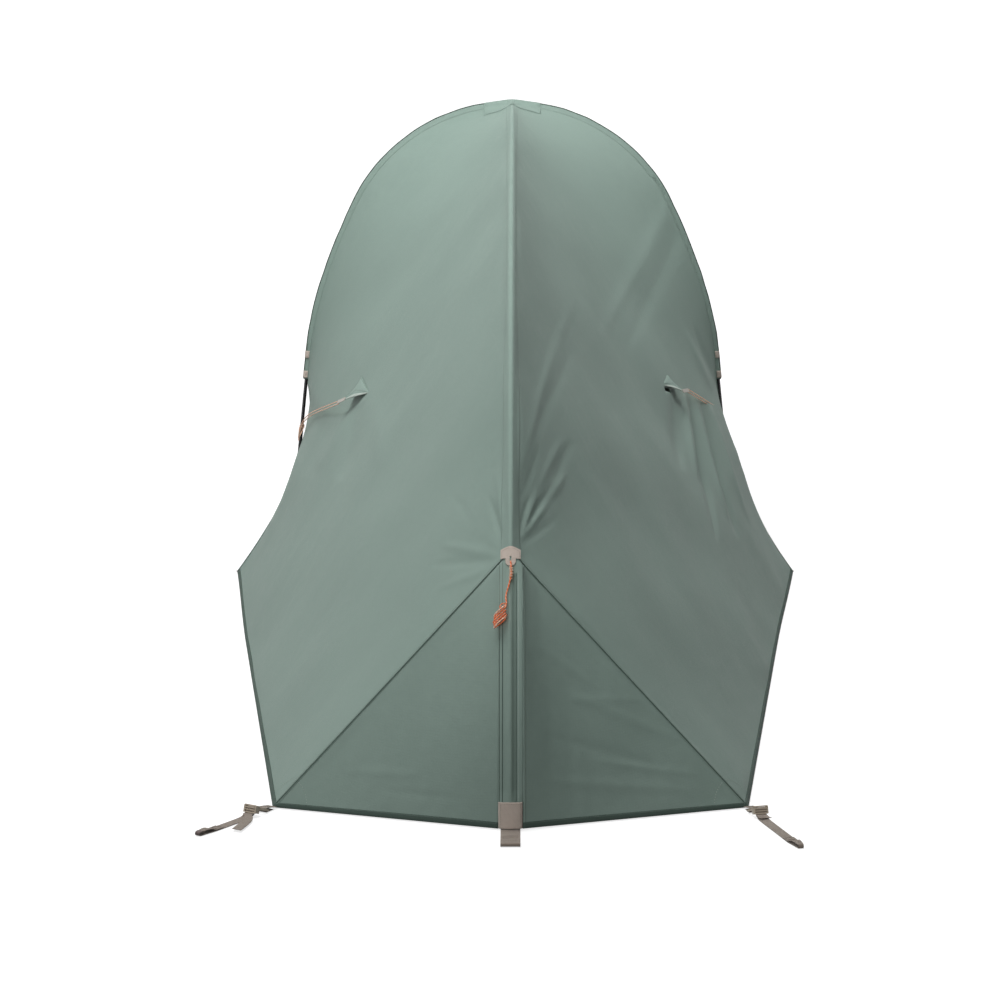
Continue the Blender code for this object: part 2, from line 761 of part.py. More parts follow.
def peg_loop(reach, start=0.0):
    """A strap's side view, as distance out and height: flat on the ground, folded back into a peg loop."""
    low = FIT + WEBBING_THICKNESS / 2
    radius = (LOOP_INSIDE + WEBBING_THICKNESS) / 2
    hub = reach - radius - WEBBING_THICKNESS / 2
    lap = low + WEBBING_THICKNESS + FIT
    line = [(start, low), ((start + hub) / 2, low)]
    for angle in np.radians(np.linspace(-90, 90, 7)):
        line.append((hub + radius * math.cos(angle), low + radius + radius * math.sin(angle)))
    line += [(reach - LOOP_LENGTH + 0.012, low + 2 * radius), (reach - LOOP_LENGTH, lap)]
    line.append((reach - LOOP_LENGTH - LAP_LENGTH, lap))
    return line


def corner_frame(strap):
    """The local frame of a rear corner strap: out along the strap, across it, and up."""
    out = np.array([strap["side"] * math.sin(strap["swing"]), -math.cos(strap["swing"]), 0.0])
    across = np.array([-out[1], out[0], 0.0])
    origin = np.array([strap["side"] * REAR_CORNER[0], REAR_CORNER[1], 0.0])
    return origin, out, across, np.array([0.0, 0.0, 1.0])


def buckle_frame(strap):
    """The buckle's frame: its origin on the bar in the corner tab, tilted up outwards."""
    origin, out, across, up = corner_frame(strap)
    axis = origin + out * TAB_REACH + up * BUCKLE_AXIS_Z
    plate = out * math.cos(BUCKLE_RISE) + up * math.sin(BUCKLE_RISE)
    normal = up * math.cos(BUCKLE_RISE) - out * math.sin(BUCKLE_RISE)
    return axis, plate, across, normal


def make_corner(label, strap, web_surface, buckle_surface):
    """A rear corner's sewn tab, its ladder-lock buckle and the adjustable peg strap."""
    frame = corner_frame(strap)
    rise = GROUND_GAP + (FLY_THICKNESS + CORNER_WEB + FIT) / 2
    loop_top = (TAB_REACH - 0.004, BUCKLE_AXIS_Z + TAB_LOOP_R)
    tab = [(strap["seat"], rise), (0.014, 0.0064), loop_top]
    for angle in np.radians(np.linspace(85, -85, 7)):
        tab.append(
            (TAB_REACH + TAB_LOOP_R * math.cos(angle), BUCKLE_AXIS_Z + TAB_LOOP_R * math.sin(angle))
        )
    tab += [(TAB_REACH - 0.006, 0.0015), (0.012, 0.0020)]
    line = [place(frame, (s, 0.0, z)) for s, z in tab]
    ribbon(f"corner_tab_{label}", line, frame[2], CORNER_WEB_WIDTH, web_surface, CORNER_WEB)

    plate_frame = buckle_frame(strap)
    length = BUCKLE_OUTER_BAR[1] + BUCKLE_BAR
    inside = CORNER_WEB_WIDTH + 2 * BUCKLE_SIDE_GAP
    width = inside + 2 * BUCKLE_SIDE
    middle = (place(plate_frame, (length / 2 - BUCKLE_BAR, 0, 0)), *plate_frame[1:])
    buckle = box(f"corner_buckle_{label}", (length, width, 2 * BUCKLE_BAR), buckle_surface, middle)
    slots = ((BUCKLE_BAR, BUCKLE_MID_BAR[0]), (BUCKLE_MID_BAR[1], BUCKLE_OUTER_BAR[0]))
    for low, high in slots:
        centre = (place(plate_frame, ((low + high) / 2, 0, 0)), *plate_frame[1:])
        cutter = box("buckle_slot", (high - low, inside, 4 * BUCKLE_BAR), buckle_surface, centre)
        boolean(buckle, cutter, "DIFFERENCE")

    above = BUCKLE_BAR + CORNER_WEB
    inner = BUCKLE_OUTER_BAR[0] - 0.0013
    splay = strap["splay"]
    side = strap["side"]
    wrap = [(BUCKLE_OUTER_BAR[1] + 0.004, -above), (inner + 0.0012, -above), (inner, -0.5 * above)]
    wrap += [(inner, 0.5 * above), (inner + 0.0012, above), (BUCKLE_OUTER_BAR[1] + 0.003, above)]
    start = TAB_REACH + 0.062
    run = [place(frame, (s, 0, z)) for s, z in peg_loop(strap["reach"], start)]
    over = [place(plate_frame, (a, 0, n)) for a, n in wrap]
    line = run[::-1] + over
    drop = [(0.012, 0.0150, 0.15), (0.030, 0.0095, 0.5), (strap["tail"], 0.0062, 1.0)]
    base = TAB_REACH + BUCKLE_OUTER_BAR[1]
    drop = [entry for entry in drop if entry[0] <= strap["tail"]]
    line += [place(frame, (base + s, side * splay * share, z)) for s, z, share in drop]
    ribbon(f"corner_strap_{label}", line, frame[2], CORNER_WEB_WIDTH, web_surface, CORNER_WEB)


def make_foot_straps(surface):
    """The straps from each wing corner under the arch pole's foot to a peg loop, and the front loops."""
    for label, side in SIDES.items():
        corner = np.array([*WING_CORNER, 0.0])
        foot = np.array([FOOT_X, ARCH_Y, 0.0])
        out = (foot - corner) / np.linalg.norm(foot - corner)
        start = corner + out * 0.004
        reach = np.linalg.norm(foot - corner) - 0.004 + FOOT_STRAP_PAST
        across = np.array([-out[1], out[0], 0.0])
        line = [start + out * s + np.array([0, 0, z]) for s, z in peg_loop(reach)]
        name = f"foot_strap_{label}"
        ribbon(name, mirrored(line, side), mirrored(across, side), FOOT_STRAP_WIDTH, surface)
        corner = np.array([PORCH_HALF_WIDTH, ARCH_Y + PORCH_DEPTH, 0.0])
        out = np.array([*FRONT_LOOP_WAY, 0.0])
        across = np.array([-out[1], out[0], 0.0])
        line = [corner + out * (s - 0.008) + np.array([0, 0, z]) for s, z in peg_loop(FRONT_LOOP_REACH)]
        name = f"front_loop_{label}"
        ribbon(name, mirrored(line, side), mirrored(across, side), FOOT_STRAP_WIDTH, surface)


def panel_point(grid, along, down):
    """A point of a panel and its outward normal, at shares of its length and depth."""
    rows, columns = grid.shape[:2]
    i, j = along * (rows - 1), down * (columns - 1)
    a, b = int(i), int(j)
    u, v = i - a, j - b
    spot = (1 - u) * (1 - v) * grid[a, b] + u * (1 - v) * grid[a + 1, b]
    spot = spot + (1 - u) * v * grid[a, b + 1] + u * v * grid[a + 1, b + 1]
    one = grid[a + 1, b] - grid[a, b]
    two = grid[a, b + 1] - grid[a, b]
    normal = np.cross(one, two)
    normal = normal / np.linalg.norm(normal)
    return spot, normal * math.copysign(1.0, normal[0] * spot[0])


def vent_frame(side):
    """The vent's frame on the side panel: towards the arch pole, up the panel, and outwards."""
    spot, normal = panel_point(side_grid(1), VENT_ALONG, VENT_DOWN)
    target = wrap_centre()
    towards = target - spot
    towards = towards - normal * (towards @ normal)
    towards = towards / np.linalg.norm(towards)
    up = np.cross(normal, towards)
    up = up * math.copysign(1.0, up[2])
    return tuple(mirrored(part, side) for part in (spot, towards, up, normal))


def vent_cutter(side, surface):
    """The slit under the vent hood."""
    spot, towards, up, normal = vent_frame(side)
    centre = (spot + up * 0.004, towards, up, normal)
    return box("vent_slit", (VENT_SLIT[0], VENT_SLIT[1], 0.03), surface, centre)


def vent_tip(side):
    """The end of the vent hood's webbing, where its cord starts."""
    frame = vent_frame(side)
    return place(frame, (0.5 * VENT_LENGTH + 0.012, 0.0, VENT_LIFT))


def make_vents(surface):
    """The hoods over the side vents, each drawn out to a point by its cord."""
    for label, side in SIDES.items():
        frame = vent_frame(side)
        grid = []
        for share in np.linspace(0, 1, 6):
            along = (share - 0.5) * VENT_LENGTH
            height = VENT_HEIGHT * (1 - share) ** 0.8 + 0.006
            lift = 0.0012 + VENT_LIFT * share
            open_lift = lift + 0.006 * math.sin(math.pi * min(share, 0.999))
            low = place(frame, (along, -0.004, open_lift))
            high = place(frame, (along + 0.004, height - 0.004, 0.0014 + 0.8 * VENT_LIFT * share**2))
            middle = (low + high) / 2 + frame[3] * 0.002
            grid.append([low, middle, high])
        cloth(f"vent_hood_{label}", np.array(grid), FLY_THICKNESS, surface)


def wrap_centre():
    """Where the vent cord goes round the right leg of the arch pole."""
    arch = arch_axis()
    spot = distance_at_height(arch, VENT_CORD_Z)
    return walk(arch, spot, spot, 1)[0]


def vent_route(aside):
    """One run of the vent cord over the right side panel, from the hood's tip towards the pole."""
    grid = side_grid(1)
    lift = FLY_THICKNESS / 2 + CORD_R + VENT_CORD_LIFT
    tip = vent_tip(1)
    start = (VENT_ALONG, VENT_DOWN)
    line = [tip]
    for share in (0.4, 0.6, 0.8, 0.999):
        along = start[0] + (1 - start[0]) * share
        down = start[1] + (VENT_CORD_EDGE - start[1]) * share
        spot, normal = panel_point(grid, along, down)
        line.append(spot + normal * lift)
    run = line[-1] - tip
    sideways = np.array([0.0, 0.0, 1.0]) - run * (run[2] / (run @ run))
    sideways = sideways / np.linalg.norm(sideways)
    return [point + sideways * aside for point in line]


def make_vent_cords(surface):
    """The doubled cords from each vent hood, wound round the arch pole."""
    centre = wrap_centre()
    arch = arch_axis()
    spot = distance_at_height(arch, VENT_CORD_Z)
    below = walk(arch, spot + 0.01, spot + 0.01, 1)[0]
    down = (below - centre) / np.linalg.norm(below - centre)
    tip = vent_tip(1)
    away = centre - tip
    away = away - down * (away @ down)
    away = away / np.linalg.norm(away)
    across = np.cross(down, away)
    radius = POLE_R + CORD_R + FIT
    half = VENT_CORD_TURNS * VENT_CORD_PITCH / 2
    winding = []
    for turn in np.linspace(-0.25, VENT_CORD_TURNS - 0.75, 12 * VENT_CORD_TURNS - 5):
        angle = 2 * math.pi * turn
        height = (turn + 0.25) * VENT_CORD_PITCH - half
        ring = away * math.cos(angle) + across * math.sin(angle)
        winding.append(centre + radius * ring + down * height)
    upper = smooth_line(vent_route(VENT_CORD_APART / 2), 10)
    lower = smooth_line(vent_route(-VENT_CORD_APART / 2)[::-1], 10)
    line = [*upper, *winding, *lower]
    for label, side in SIDES.items():
        rod(f"vent_cord_{label}", mirrored(line, side), CORD_R, surface, resolution=1)


def hank_points():
    """The hank: flat oval turns side by side, wound as one cord, standing off the band."""
    middle, outward = on_ridge(HANK_CENTRE_Z)
    uphill = np.cross(np.array([1.0, 0, 0]), outward)
    uphill = uphill * math.copysign(1.0, uphill[2])
    right = np.array([1.0, 0, 0])
    strand = right * math.sin(HANK_TILT) + uphill * math.cos(HANK_TILT)
    step = -uphill / math.sin(HANK_TILT)
    lift = BAND_HALF_DEPTH + HANK_DEPTH / 2 + CORD_R + 2 * FIT
    centre = middle + np.array([HANK_CENTRE_X, 0, 0]) + outward * lift
    bend = HANK_DEPTH / 2 - CORD_R
    straight = HANK_LENGTH / 2 - bend - CORD_R
    line = []
    for k in range(HANK_LOOPS * POINTS_PER_LOOP + 1):
        phase = k / POINTS_PER_LOOP
        angle = 2 * math.pi * phase
        along = straight * np.clip(1.6 * math.cos(angle), -1, 1) + bend * math.cos(angle)
        depth = bend * math.sin(angle)
        aside = (phase - HANK_LOOPS / 2) * HANK_PITCH
        line.append(centre + strand * along + outward * depth + step * aside)
    return np.array(line), strand, step


def least_gap(points, radius):
    """The least gap of a wound cord to itself, measured between points more than half a turn apart."""
    gaps = np.linalg.norm(points[:, None] - points[None], axis=2) - 2 * radius
    apart = np.abs(np.arange(len(points))[:, None] - np.arange(len(points))[None])
    return float(gaps[apart > POINTS_PER_LOOP // 2].min())


def make_guyline(surface):
    """The guyline from the cap's slot, and its spare length wound into a hank."""
    line, strand, step = hank_points()
    start = line[0] + strand * 2 * CORD_R
    finish = line[-1] + strand * 2 * CORD_R
    wound = np.concatenate([[start], line, [finish]])
    print(f"hank least gap {1000 * least_gap(wound, CORD_R):.2f} mm")
    rod("guyline_hank", wound, CORD_R, surface, resolution=1)
    lift = CORD_R + WEBBING_THICKNESS + 4 * FIT
    route = [band_surface(z, x, lift) for x, z in GUY_ROUTE]
    route.append(start + strand * 4 * CORD_R)
    route.append(start + strand * FIT)
    smooth = smooth_line(route, 26)
    rod("guyline", smooth, CORD_R, surface)


def smooth_line(route, count):
    """A smooth curve through chosen points, as evenly spaced points."""
    route = np.asarray(route, float)
    ends = [2 * route[0] - route[1], *route, 2 * route[-1] - route[-2]]
    line = []
    for k in range(1, len(ends) - 2):
        a, b, c, d = ends[k - 1 : k + 3]
        for t in np.linspace(0, 1, 12, endpoint=False):
            line.append(
                0.5 * (2 * b + (c - a) * t + (2 * a - 5 * b + 4 * c - d) * t**2
                + (3 * b - a - 3 * c + d) * t**3)
            )
    line.append(route[-1])
    return even(np.array(line), count)


def make_door_zip(tape_surface, slider_surface):
    """The coil along the door's right edge, and its slider at the foot of the door."""
    normal = door_normal()
    line = zip_line(9)
    slope = (line[-1] - line[0]) / np.linalg.norm(line[-1] - line[0])
    across = np.cross(normal, slope)
    across = across * math.copysign(1.0, across[0])
    lift = FLY_THICKNESS / 2 + FIT + ZIP_THICKNESS / 2
    aside = ZIP_WIDTH / 2 + 0.0020
    run = walk(line, 0.045, length_of(line) - 0.004, 9)
    coil = run + normal * lift + across * aside
    ribbon("door_zip", coil, across, ZIP_WIDTH, tape_surface, ZIP_THICKNESS)
    foot = run[-1] + normal * lift + across * aside
    above = ZIP_THICKNESS / 2 + FIT + SLIDER_SIZE[2] / 2
    spot = foot - slope * 0.012 + normal * above
    body = box("door_zip_slider", SLIDER_SIZE, slider_surface, (spot, across, slope, normal))
    tab = spot + normal * (SLIDER_SIZE[2] / 2 + 0.0003) - slope * 0.008
    boolean(body, box("slider_pull", PULL_SIZE, slider_surface, (tab, across, slope, normal)), "UNION")


def floor_corner(side, front, z):
    """A corner of the tub floor at the ground (z = 0) or at the tub's rim."""
    half = FLOOR_FRONT_HALF if front else FLOOR_REAR_HALF
    lean = TUB_LEAN * z / TUB_HEIGHT
    y = FLOOR_LENGTH / 2 - lean
    return np.array([side * (half - lean), y if front else -y, z])


def make_floor(surface):
    """The tub floor: a flat sheet with low walls all round."""
    order = ((-1, False), (1, False), (1, True), (-1, True))
    shape = bmesh.new()
    low = [shape.verts.new(floor_corner(side, front, 0.0)) for side, front in order]
    high = [shape.verts.new(floor_corner(side, front, TUB_HEIGHT)) for side, front in order]
    shape.faces.new(low[::-1])
    for k in range(4):
        n = (k + 1) % 4
        shape.faces.new((low[k], low[n], high[n], high[k]))
    mesh = bpy.data.meshes.new("inner_floor")
    shape.to_mesh(mesh)
    shape.free()
    made = add_mesh("inner_floor", mesh, surface)
    solid = made.modifiers.new("Thickness", "SOLIDIFY")
    solid.thickness = FLOOR_THICKNESS
    solid.offset = -1.0
    solid.use_even_offset = True


def inner_front_y(z):
    """The leaning front wall's position at a height."""
    base = FLOOR_LENGTH / 2 - TUB_LEAN - FLOOR_THICKNESS / 2
    share = (z - TUB_HEIGHT) / (INNER_TOP[1] - TUB_HEIGHT)
    return base + share * (INNER_TOP[0] - base)


def inner_front_edge(count):
    """The front wall's right edge, from the inner ridge to the floor's corner."""
    top = np.array([INNER_RIDGE_GAP / 2, 0, INNER_TOP[1]])
    low = np.array([FLOOR_FRONT_HALF - TUB_LEAN - FLOOR_THICKNESS / 2, 0, INNER_RIM])
    shoulder = (0.52 * low[0], 0, INNER_TOP[1] - 0.010)
    waist = (0.78 * low[0], 0, 0.68 * INNER_TOP[1])
    line = bezier(top, shoulder, waist, low, 41)
    line[:, 1] = [inner_front_y(z) for z in line[:, 2]]
    return even(line, count)


def inner_ridge(count):
    """The inner tent's ridge, from the floor's rear rim to the front wall."""
    run = INNER_TOP[0] + FLOOR_LENGTH / 2 - INNER_REAR_INSET
    rise = INNER_TOP[1] - INNER_RIM
    turns = np.linspace(0, math.pi / 2, 41)
    ys = INNER_TOP[0] - run * np.cos(turns)
    line = np.stack([np.full(41, INNER_RIDGE_GAP / 2), ys, INNER_RIM + rise * np.sin(turns)], axis=1)
    return even(line, count)


def make_inner(surface):
    """The inner tent's two side walls."""
    rows, columns = 12, 8
    wall = FLOOR_THICKNESS / 2
    for label, side in SIDES.items():
        low = inner_ridge(rows)
        last = inner_front_edge(columns) - np.array([0, INNER_SEAM, 0])
        last[0] = low[-1] - np.array([0, INNER_SEAM, 0])
        low[-1] = last[0]
        rear = floor_corner(1, False, TUB_HEIGHT)
        corner = np.array([rear[0] - wall, rear[1] + wall, INNER_RIM])
        first = np.linspace(0, 1, columns)[:, None] * (corner - low[0]) + low[0]
        high = np.linspace(0, 1, rows)[:, None] * (last[-1] - first[-1]) + first[-1]
        grid = mirrored(stretched(first, last, low, high), side)
        cloth(f"inner_side_{label}", grid, INNER_THICKNESS, surface)


def inner_door_outline(margin):
    """The inner door's corners, moved out by a margin, counter-clockwise from the lower right."""
    top = INNER_DOOR_SILL + INNER_DOOR_HEIGHT
    return [
        (INNER_DOOR_LOW_HALF + margin, INNER_DOOR_SILL - margin),
        (INNER_DOOR_LOW_HALF + margin, INNER_DOOR_SILL + INNER_DOOR_SIDE),
        (INNER_DOOR_TOP_HALF + margin, top + margin),
        (0.0, top + margin),
        (-INNER_DOOR_TOP_HALF - margin, top + margin),
        (-INNER_DOOR_LOW_HALF - margin, INNER_DOOR_SILL + INNER_DOOR_SIDE),
        (-INNER_DOOR_LOW_HALF - margin, INNER_DOOR_SILL - margin),
        (0.0, INNER_DOOR_SILL - margin),
    ]


def make_inner_front(surface, door_surface, slider_surface):
    """The leaning front wall with its door opening, the inner door and its slider."""
    inner = inner_door_outline(INNER_DOOR_GAP)
    inner = [np.array([x, inner_front_y(z), z]) for x, z in inner]
    edge = inner_front_edge(5)
    outer = [edge[4], edge[3], edge[2], edge[0]]
    outer += [mirrored(edge[2], -1), mirrored(edge[3], -1), mirrored(edge[4], -1)]
    outer.append((edge[4] + mirrored(edge[4], -1)) / 2)
    outer[3] = np.array([0.0, edge[0][1], edge[0][2]])
    grid = np.array([inner, outer])
    cloth("inner_front", grid, INNER_THICKNESS, surface, closed=True)
    flap = [np.array([x, inner_front_y(z), z]) for x, z in inner_door_outline(0.0)]
    left = [flap[6], flap[5], flap[4]]
    middle = [flap[7], (flap[1] + flap[5]) / 2, flap[3]]
    right = [flap[0], flap[1], flap[2]]
    cloth("inner_door", np.array([left, middle, right]), INNER_THICKNESS, door_surface)
    slope = flap[1] - flap[0]
    slope = slope / np.linalg.norm(slope)
    across = np.array([1.0, 0, 0])
    normal = np.cross(across, slope)
    normal = normal * math.copysign(1.0, normal[1])
    lift = INNER_THICKNESS / 2 + FIT + SLIDER_SIZE[2] / 2
    spot = flap[0] + slope * 0.02 + across * (SLIDER_SIZE[0] / 2 + 2 * INNER_DOOR_GAP) + normal * lift
    box("inner_zip_slider", SLIDER_SIZE, slider_surface, (spot, across, slope, normal), bevel=0.0006)


def make_hangers(surface):
    """The webbing hangers between the ridge sleeve and the inner ridge."""
    ridge = inner_ridge(81)
    for number, setback in enumerate(HANGER_SETBACKS, 1):
        spot, outward = on_ridge(CROWN_Z * math.sqrt(1 - (setback / RIDGE_RUN) ** 2))
        top = spot - outward * (SLEEVE_R + 2 * FIT)
        low_z = float(np.interp(top[1], ridge[:, 1], ridge[:, 2])) + INNER_THICKNESS / 2 + FIT
        line = [top, np.array([0.0, top[1], low_z])]
        along = (0.0, outward[2], -outward[1])
        ribbon(f"inner_hanger_{number}", line, along, HANGER_WIDTH, surface, 0.001, cells=1)


clear_scene()
PARTS = new_collection("tent")
CUTTERS = new_collection("cutters")
SIDES = {"left": -1, "right": 1}

FLY = material("fly_cloth", (0.33, 0.42, 0.37), 0.6)
SLEEVE = material("sleeve_cloth", (0.20, 0.25, 0.23), 0.7)
TAUPE = material("taupe_webbing", (0.31, 0.27, 0.23), 0.8)
POLE = material("pole_metal", (0.02, 0.02, 0.02), 0.35, 0.6)
PLASTIC = material("black_plastic", (0.03, 0.03, 0.03), 0.4)
BUCKLE = material("taupe_plastic", (0.25, 0.22, 0.19), 0.45)
CORD = material("orange_cord", (0.80, 0.16, 0.04), 0.7)
INNER = material("inner_cloth", (0.55, 0.56, 0.53), 0.8)
FLOOR = material("floor_cloth", (0.10, 0.12, 0.12), 0.6)
METAL = material("slider_metal", (0.30, 0.30, 0.30), 0.35, 1.0)

make_arch_pole(POLE, PLASTIC)
make_ridge_pole(POLE, PLASTIC)
make_hub(PLASTIC)
make_sleeves(SLEEVE)
make_sleeve_tabs(TAUPE)
make_fly(FLY)
make_crown_patch(FLY)
make_rear_cap(TAUPE)
make_rear_foot(TAUPE, TAUPE)
for corner_label, corner_strap in CORNER_STRAPS.items():
    make_corner(corner_label, corner_strap, TAUPE, BUCKLE)
make_foot_straps(TAUPE)
make_vents(FLY)
make_vent_cords(CORD)
make_guyline(CORD)
make_door_zip(SLEEVE, METAL)
make_floor(FLOOR)
make_inner(INNER)
make_inner_front(INNER, INNER, METAL)
make_hangers(TAUPE)
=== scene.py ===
"""One-person tent: an outer fly stretched between an arch pole and a ridge pole, with an inner tent below.
Metres, in the frame of the solids: +Z up, -Y to the rear corner straps, X across."""

import math

import bmesh
import bpy
import numpy as np
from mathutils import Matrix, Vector
from mathutils.bvhtree import BVHTree
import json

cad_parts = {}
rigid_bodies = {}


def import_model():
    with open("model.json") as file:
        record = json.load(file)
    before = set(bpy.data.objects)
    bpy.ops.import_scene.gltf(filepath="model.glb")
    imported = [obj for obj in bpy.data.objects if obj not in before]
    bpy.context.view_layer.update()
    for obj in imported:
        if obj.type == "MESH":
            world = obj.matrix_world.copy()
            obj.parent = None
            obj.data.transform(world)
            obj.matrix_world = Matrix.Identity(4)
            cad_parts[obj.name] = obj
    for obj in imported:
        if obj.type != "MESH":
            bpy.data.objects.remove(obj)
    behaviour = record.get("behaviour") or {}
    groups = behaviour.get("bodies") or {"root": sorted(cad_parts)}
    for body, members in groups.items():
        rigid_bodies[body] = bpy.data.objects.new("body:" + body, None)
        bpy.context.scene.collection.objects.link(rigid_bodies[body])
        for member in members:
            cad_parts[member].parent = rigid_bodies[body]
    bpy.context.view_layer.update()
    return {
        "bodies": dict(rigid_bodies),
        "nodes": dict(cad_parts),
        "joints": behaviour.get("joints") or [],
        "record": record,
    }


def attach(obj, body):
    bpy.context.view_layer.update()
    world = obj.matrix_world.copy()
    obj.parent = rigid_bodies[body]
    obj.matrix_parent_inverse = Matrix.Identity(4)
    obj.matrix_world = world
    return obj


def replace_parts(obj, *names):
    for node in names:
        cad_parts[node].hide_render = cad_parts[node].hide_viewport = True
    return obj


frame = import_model()

# ---- sizes shared with the solids
FIT = 0.0004
SEAM_GAP = 0.0014
GROUND_GAP = 0.0025
FLY = 0.0008
WEB = 0.0014
CORD_R = 0.00125
ARCH_Y = 1.15
CROWN_Z = 1.109
CROWN_R = 0.415
CROWN_SWEEP = math.radians(65)
KNEE = (0.4885, 0.52)
KNEE_LEAN = math.radians(6.9)
FOOT_X = 0.5425
FOOT_Z = WEB + 3 * FIT
RIDGE_RUN = 2.40
POLE_R = 0.00425
SLEEVE_R = 0.0056
SLEEVE_END_Z = 0.4526
BAND_HALF_WIDTH = 0.022
BAND_HALF_DEPTH = 0.0062
BAND_START_Z = 0.012
TAB_HEIGHTS = (0.511, 0.463)
CAP_Z = 0.466
REAR_CORNER = (0.441, -1.103)
REAR_TOP_DROP = 0.019
SEAM_SKIP = 8
WING_CORNER = (0.666, 1.03)
WING_FLARE = math.radians(54)
WING_PULL_TOP = 0.20
WING_PULL_LOW = 0.13
PORCH_DEPTH = 0.85
PORCH_HALF_WIDTH = 0.40
GORE_FOOT = (0.50, 1.27)
DOOR_TOP_HALF = 0.012
DOOR_TOP_DROP = 0.0095
DOOR_TOP_Y = 0.0165
DOOR_START = 0.030
VENT_ALONG = 0.735
VENT_DOWN = 0.52
VENT_CORD_Z = 0.333
CORNER_WEB_WIDTH = 0.020
CORNER_WEB = 0.0012
TAB_REACH = 0.032
TAB_LOOP_R = 0.0036
BUCKLE_AXIS_Z = 0.0048
BUCKLE_RISE = math.radians(18)
CORNER_STRAPS = {
    "left": dict(side=-1, swing=math.radians(33), seat=0.0003, reach=0.229, tail=0.104, splay=-0.042),
    "right": dict(side=1, swing=math.radians(16), seat=0.0016, reach=0.285, tail=0.026, splay=0.004),
}
SIDES = {"left": -1, "right": 1}
SLEEVE_INSET = 0.004
SEAM_CELLS = 200
CENTRE_WEB_WIDTH = 0.036
FOOT_WEB_WIDTH = 0.020

# ---- directions, the corners of a square in order, and values that several pieces share
ACROSS, ALONG, UP = np.eye(3)
CORNERS = ((-1, -1), (1, -1), (1, 1), (-1, 1))
RIDGE_STOP = 0.0078
ARCH_BAND_START = 0.034
THIN = 0.0005
SLEEVE_PITCH = 0.0036
INNER_STITCH = {"pitch": 0.005, "length": 0.0034}
# directions that no drawn line follows, to turn a first frame about it
OFF_AXIS = (0.31, 0.47, 0.83)
OFF_LINE = (0.37, 0.41, 0.83)

# ---- the photograph's camera, found from the size of the tent in the picture
SENSOR = 36.0
PICTURE_PX = 1000
LENS_PX = 3861.0
EYE = np.array([0.0135, -8.035, 1.90])
PITCH = math.radians(10.765)
CENTRE_PX = 517.9


def with_values(thing, **values):
    """A thing with its settings."""
    for key, value in values.items():
        setattr(thing, key, value)
    return thing


def added(name, data, **values):
    """An object in the scene, with its settings."""
    made = with_values(bpy.data.objects.new(name, data), **values)
    bpy.context.scene.collection.objects.link(made)
    return made


def make_camera():
    """The camera at the photograph's place and angle."""
    data = bpy.data.cameras.new("camera")
    shift = (PICTURE_PX / 2 - CENTRE_PX) / PICTURE_PX
    with_values(data, sensor_width=SENSOR, lens=SENSOR * LENS_PX / PICTURE_PX, shift_x=shift, clip_end=500)
    turn = (math.pi / 2 - PITCH, 0, 0)
    bpy.context.scene.camera = added("camera", data, location=EYE, rotation_euler=turn)


def picture(points):
    """Where points stand in the picture, in pixels from its top left."""
    forward = points[..., 1] - EYE[1]
    down = EYE[2] - points[..., 2]
    depth = forward * math.cos(PITCH) + down * math.sin(PITCH)
    fall = down * math.cos(PITCH) - forward * math.sin(PITCH)
    return CENTRE_PX + LENS_PX * (points[..., 0] - EYE[0]) / depth, PICTURE_PX / 2 + LENS_PX * fall / depth


# ---- lines
def lengths(points):
    """The distance of each point of a line from its first one."""
    steps = np.linalg.norm(np.diff(points, axis=0), axis=1)
    return np.concatenate([[0.0], np.cumsum(steps)])


def at(points, wanted):
    """Points of a line at distances from its first one."""
    points = np.asarray(points, float)
    along = lengths(points)
    return np.stack([np.interp(wanted, along, points[:, k]) for k in range(points.shape[1])], axis=1)


def even(points, count):
    """The whole line as evenly spaced points."""
    points = np.asarray(points, float)
    return at(points, np.linspace(0, lengths(points)[-1], count))


def bezier(a, b, c, d, count):
    """Points of a cubic curve with end points a and d and handles b and c."""
    t = np.linspace(0, 1, count)[:, None]
    a, b, c, d = (np.asarray(p, float) for p in (a, b, c, d))
    return (1 - t) ** 3 * a + 3 * (1 - t) ** 2 * t * b + 3 * (1 - t) * t**2 * c + t**3 * d


def padded(points):
    """The points with one more before and after them, each straight on from the last two."""
    return np.concatenate([2 * points[:1] - points[1:2], points, 2 * points[-1:] - points[-2:-1]])


def curve(a, b, c, d, t):
    """A point between b and c, at a share of the smooth curve through all four."""
    return b + 0.5 * t * ((c - a) + t * ((2 * a - 5 * b + 4 * c - d) + t * (3 * (b - c) + d - a)))


CURVE_STEPS = 12


def smooth(route, count):
    """A smooth curve through chosen points, as evenly spaced points."""
    ends = padded(np.asarray(route, float))
    line = []
    for four in zip(ends, ends[1:], ends[2:], ends[3:]):
        line += [curve(*four, t) for t in np.arange(CURVE_STEPS) / CURVE_STEPS]
    return even(np.array([*line, route[-1]]), count)


def arc(centre, one, two, low, high, count):
    """Points of an oval round a centre, between two angles in degrees from its half axis one towards two."""
    turns = np.radians(np.linspace(low, high, count))[:, None]
    return centre + np.cos(turns) * one + np.sin(turns) * two


def mirrored(points, side):
    """The points as they are for the right side (1), or with X turned round for the left side (-1)."""
    return np.asarray(points, float) * np.array([side, 1.0, 1.0])


def unit(vector):
    """A vector of length 1."""
    vector = np.asarray(vector, float)
    return vector / np.linalg.norm(vector)


def units(vectors):
    """Each vector of an array at length 1."""
    return vectors / np.maximum(np.linalg.norm(vectors, axis=-1, keepdims=True), 1e-12)


def facing(vector, axis):
    """The vector or its opposite, whichever goes the positive way along an axis."""
    return vector * math.copysign(1.0, vector[axis])


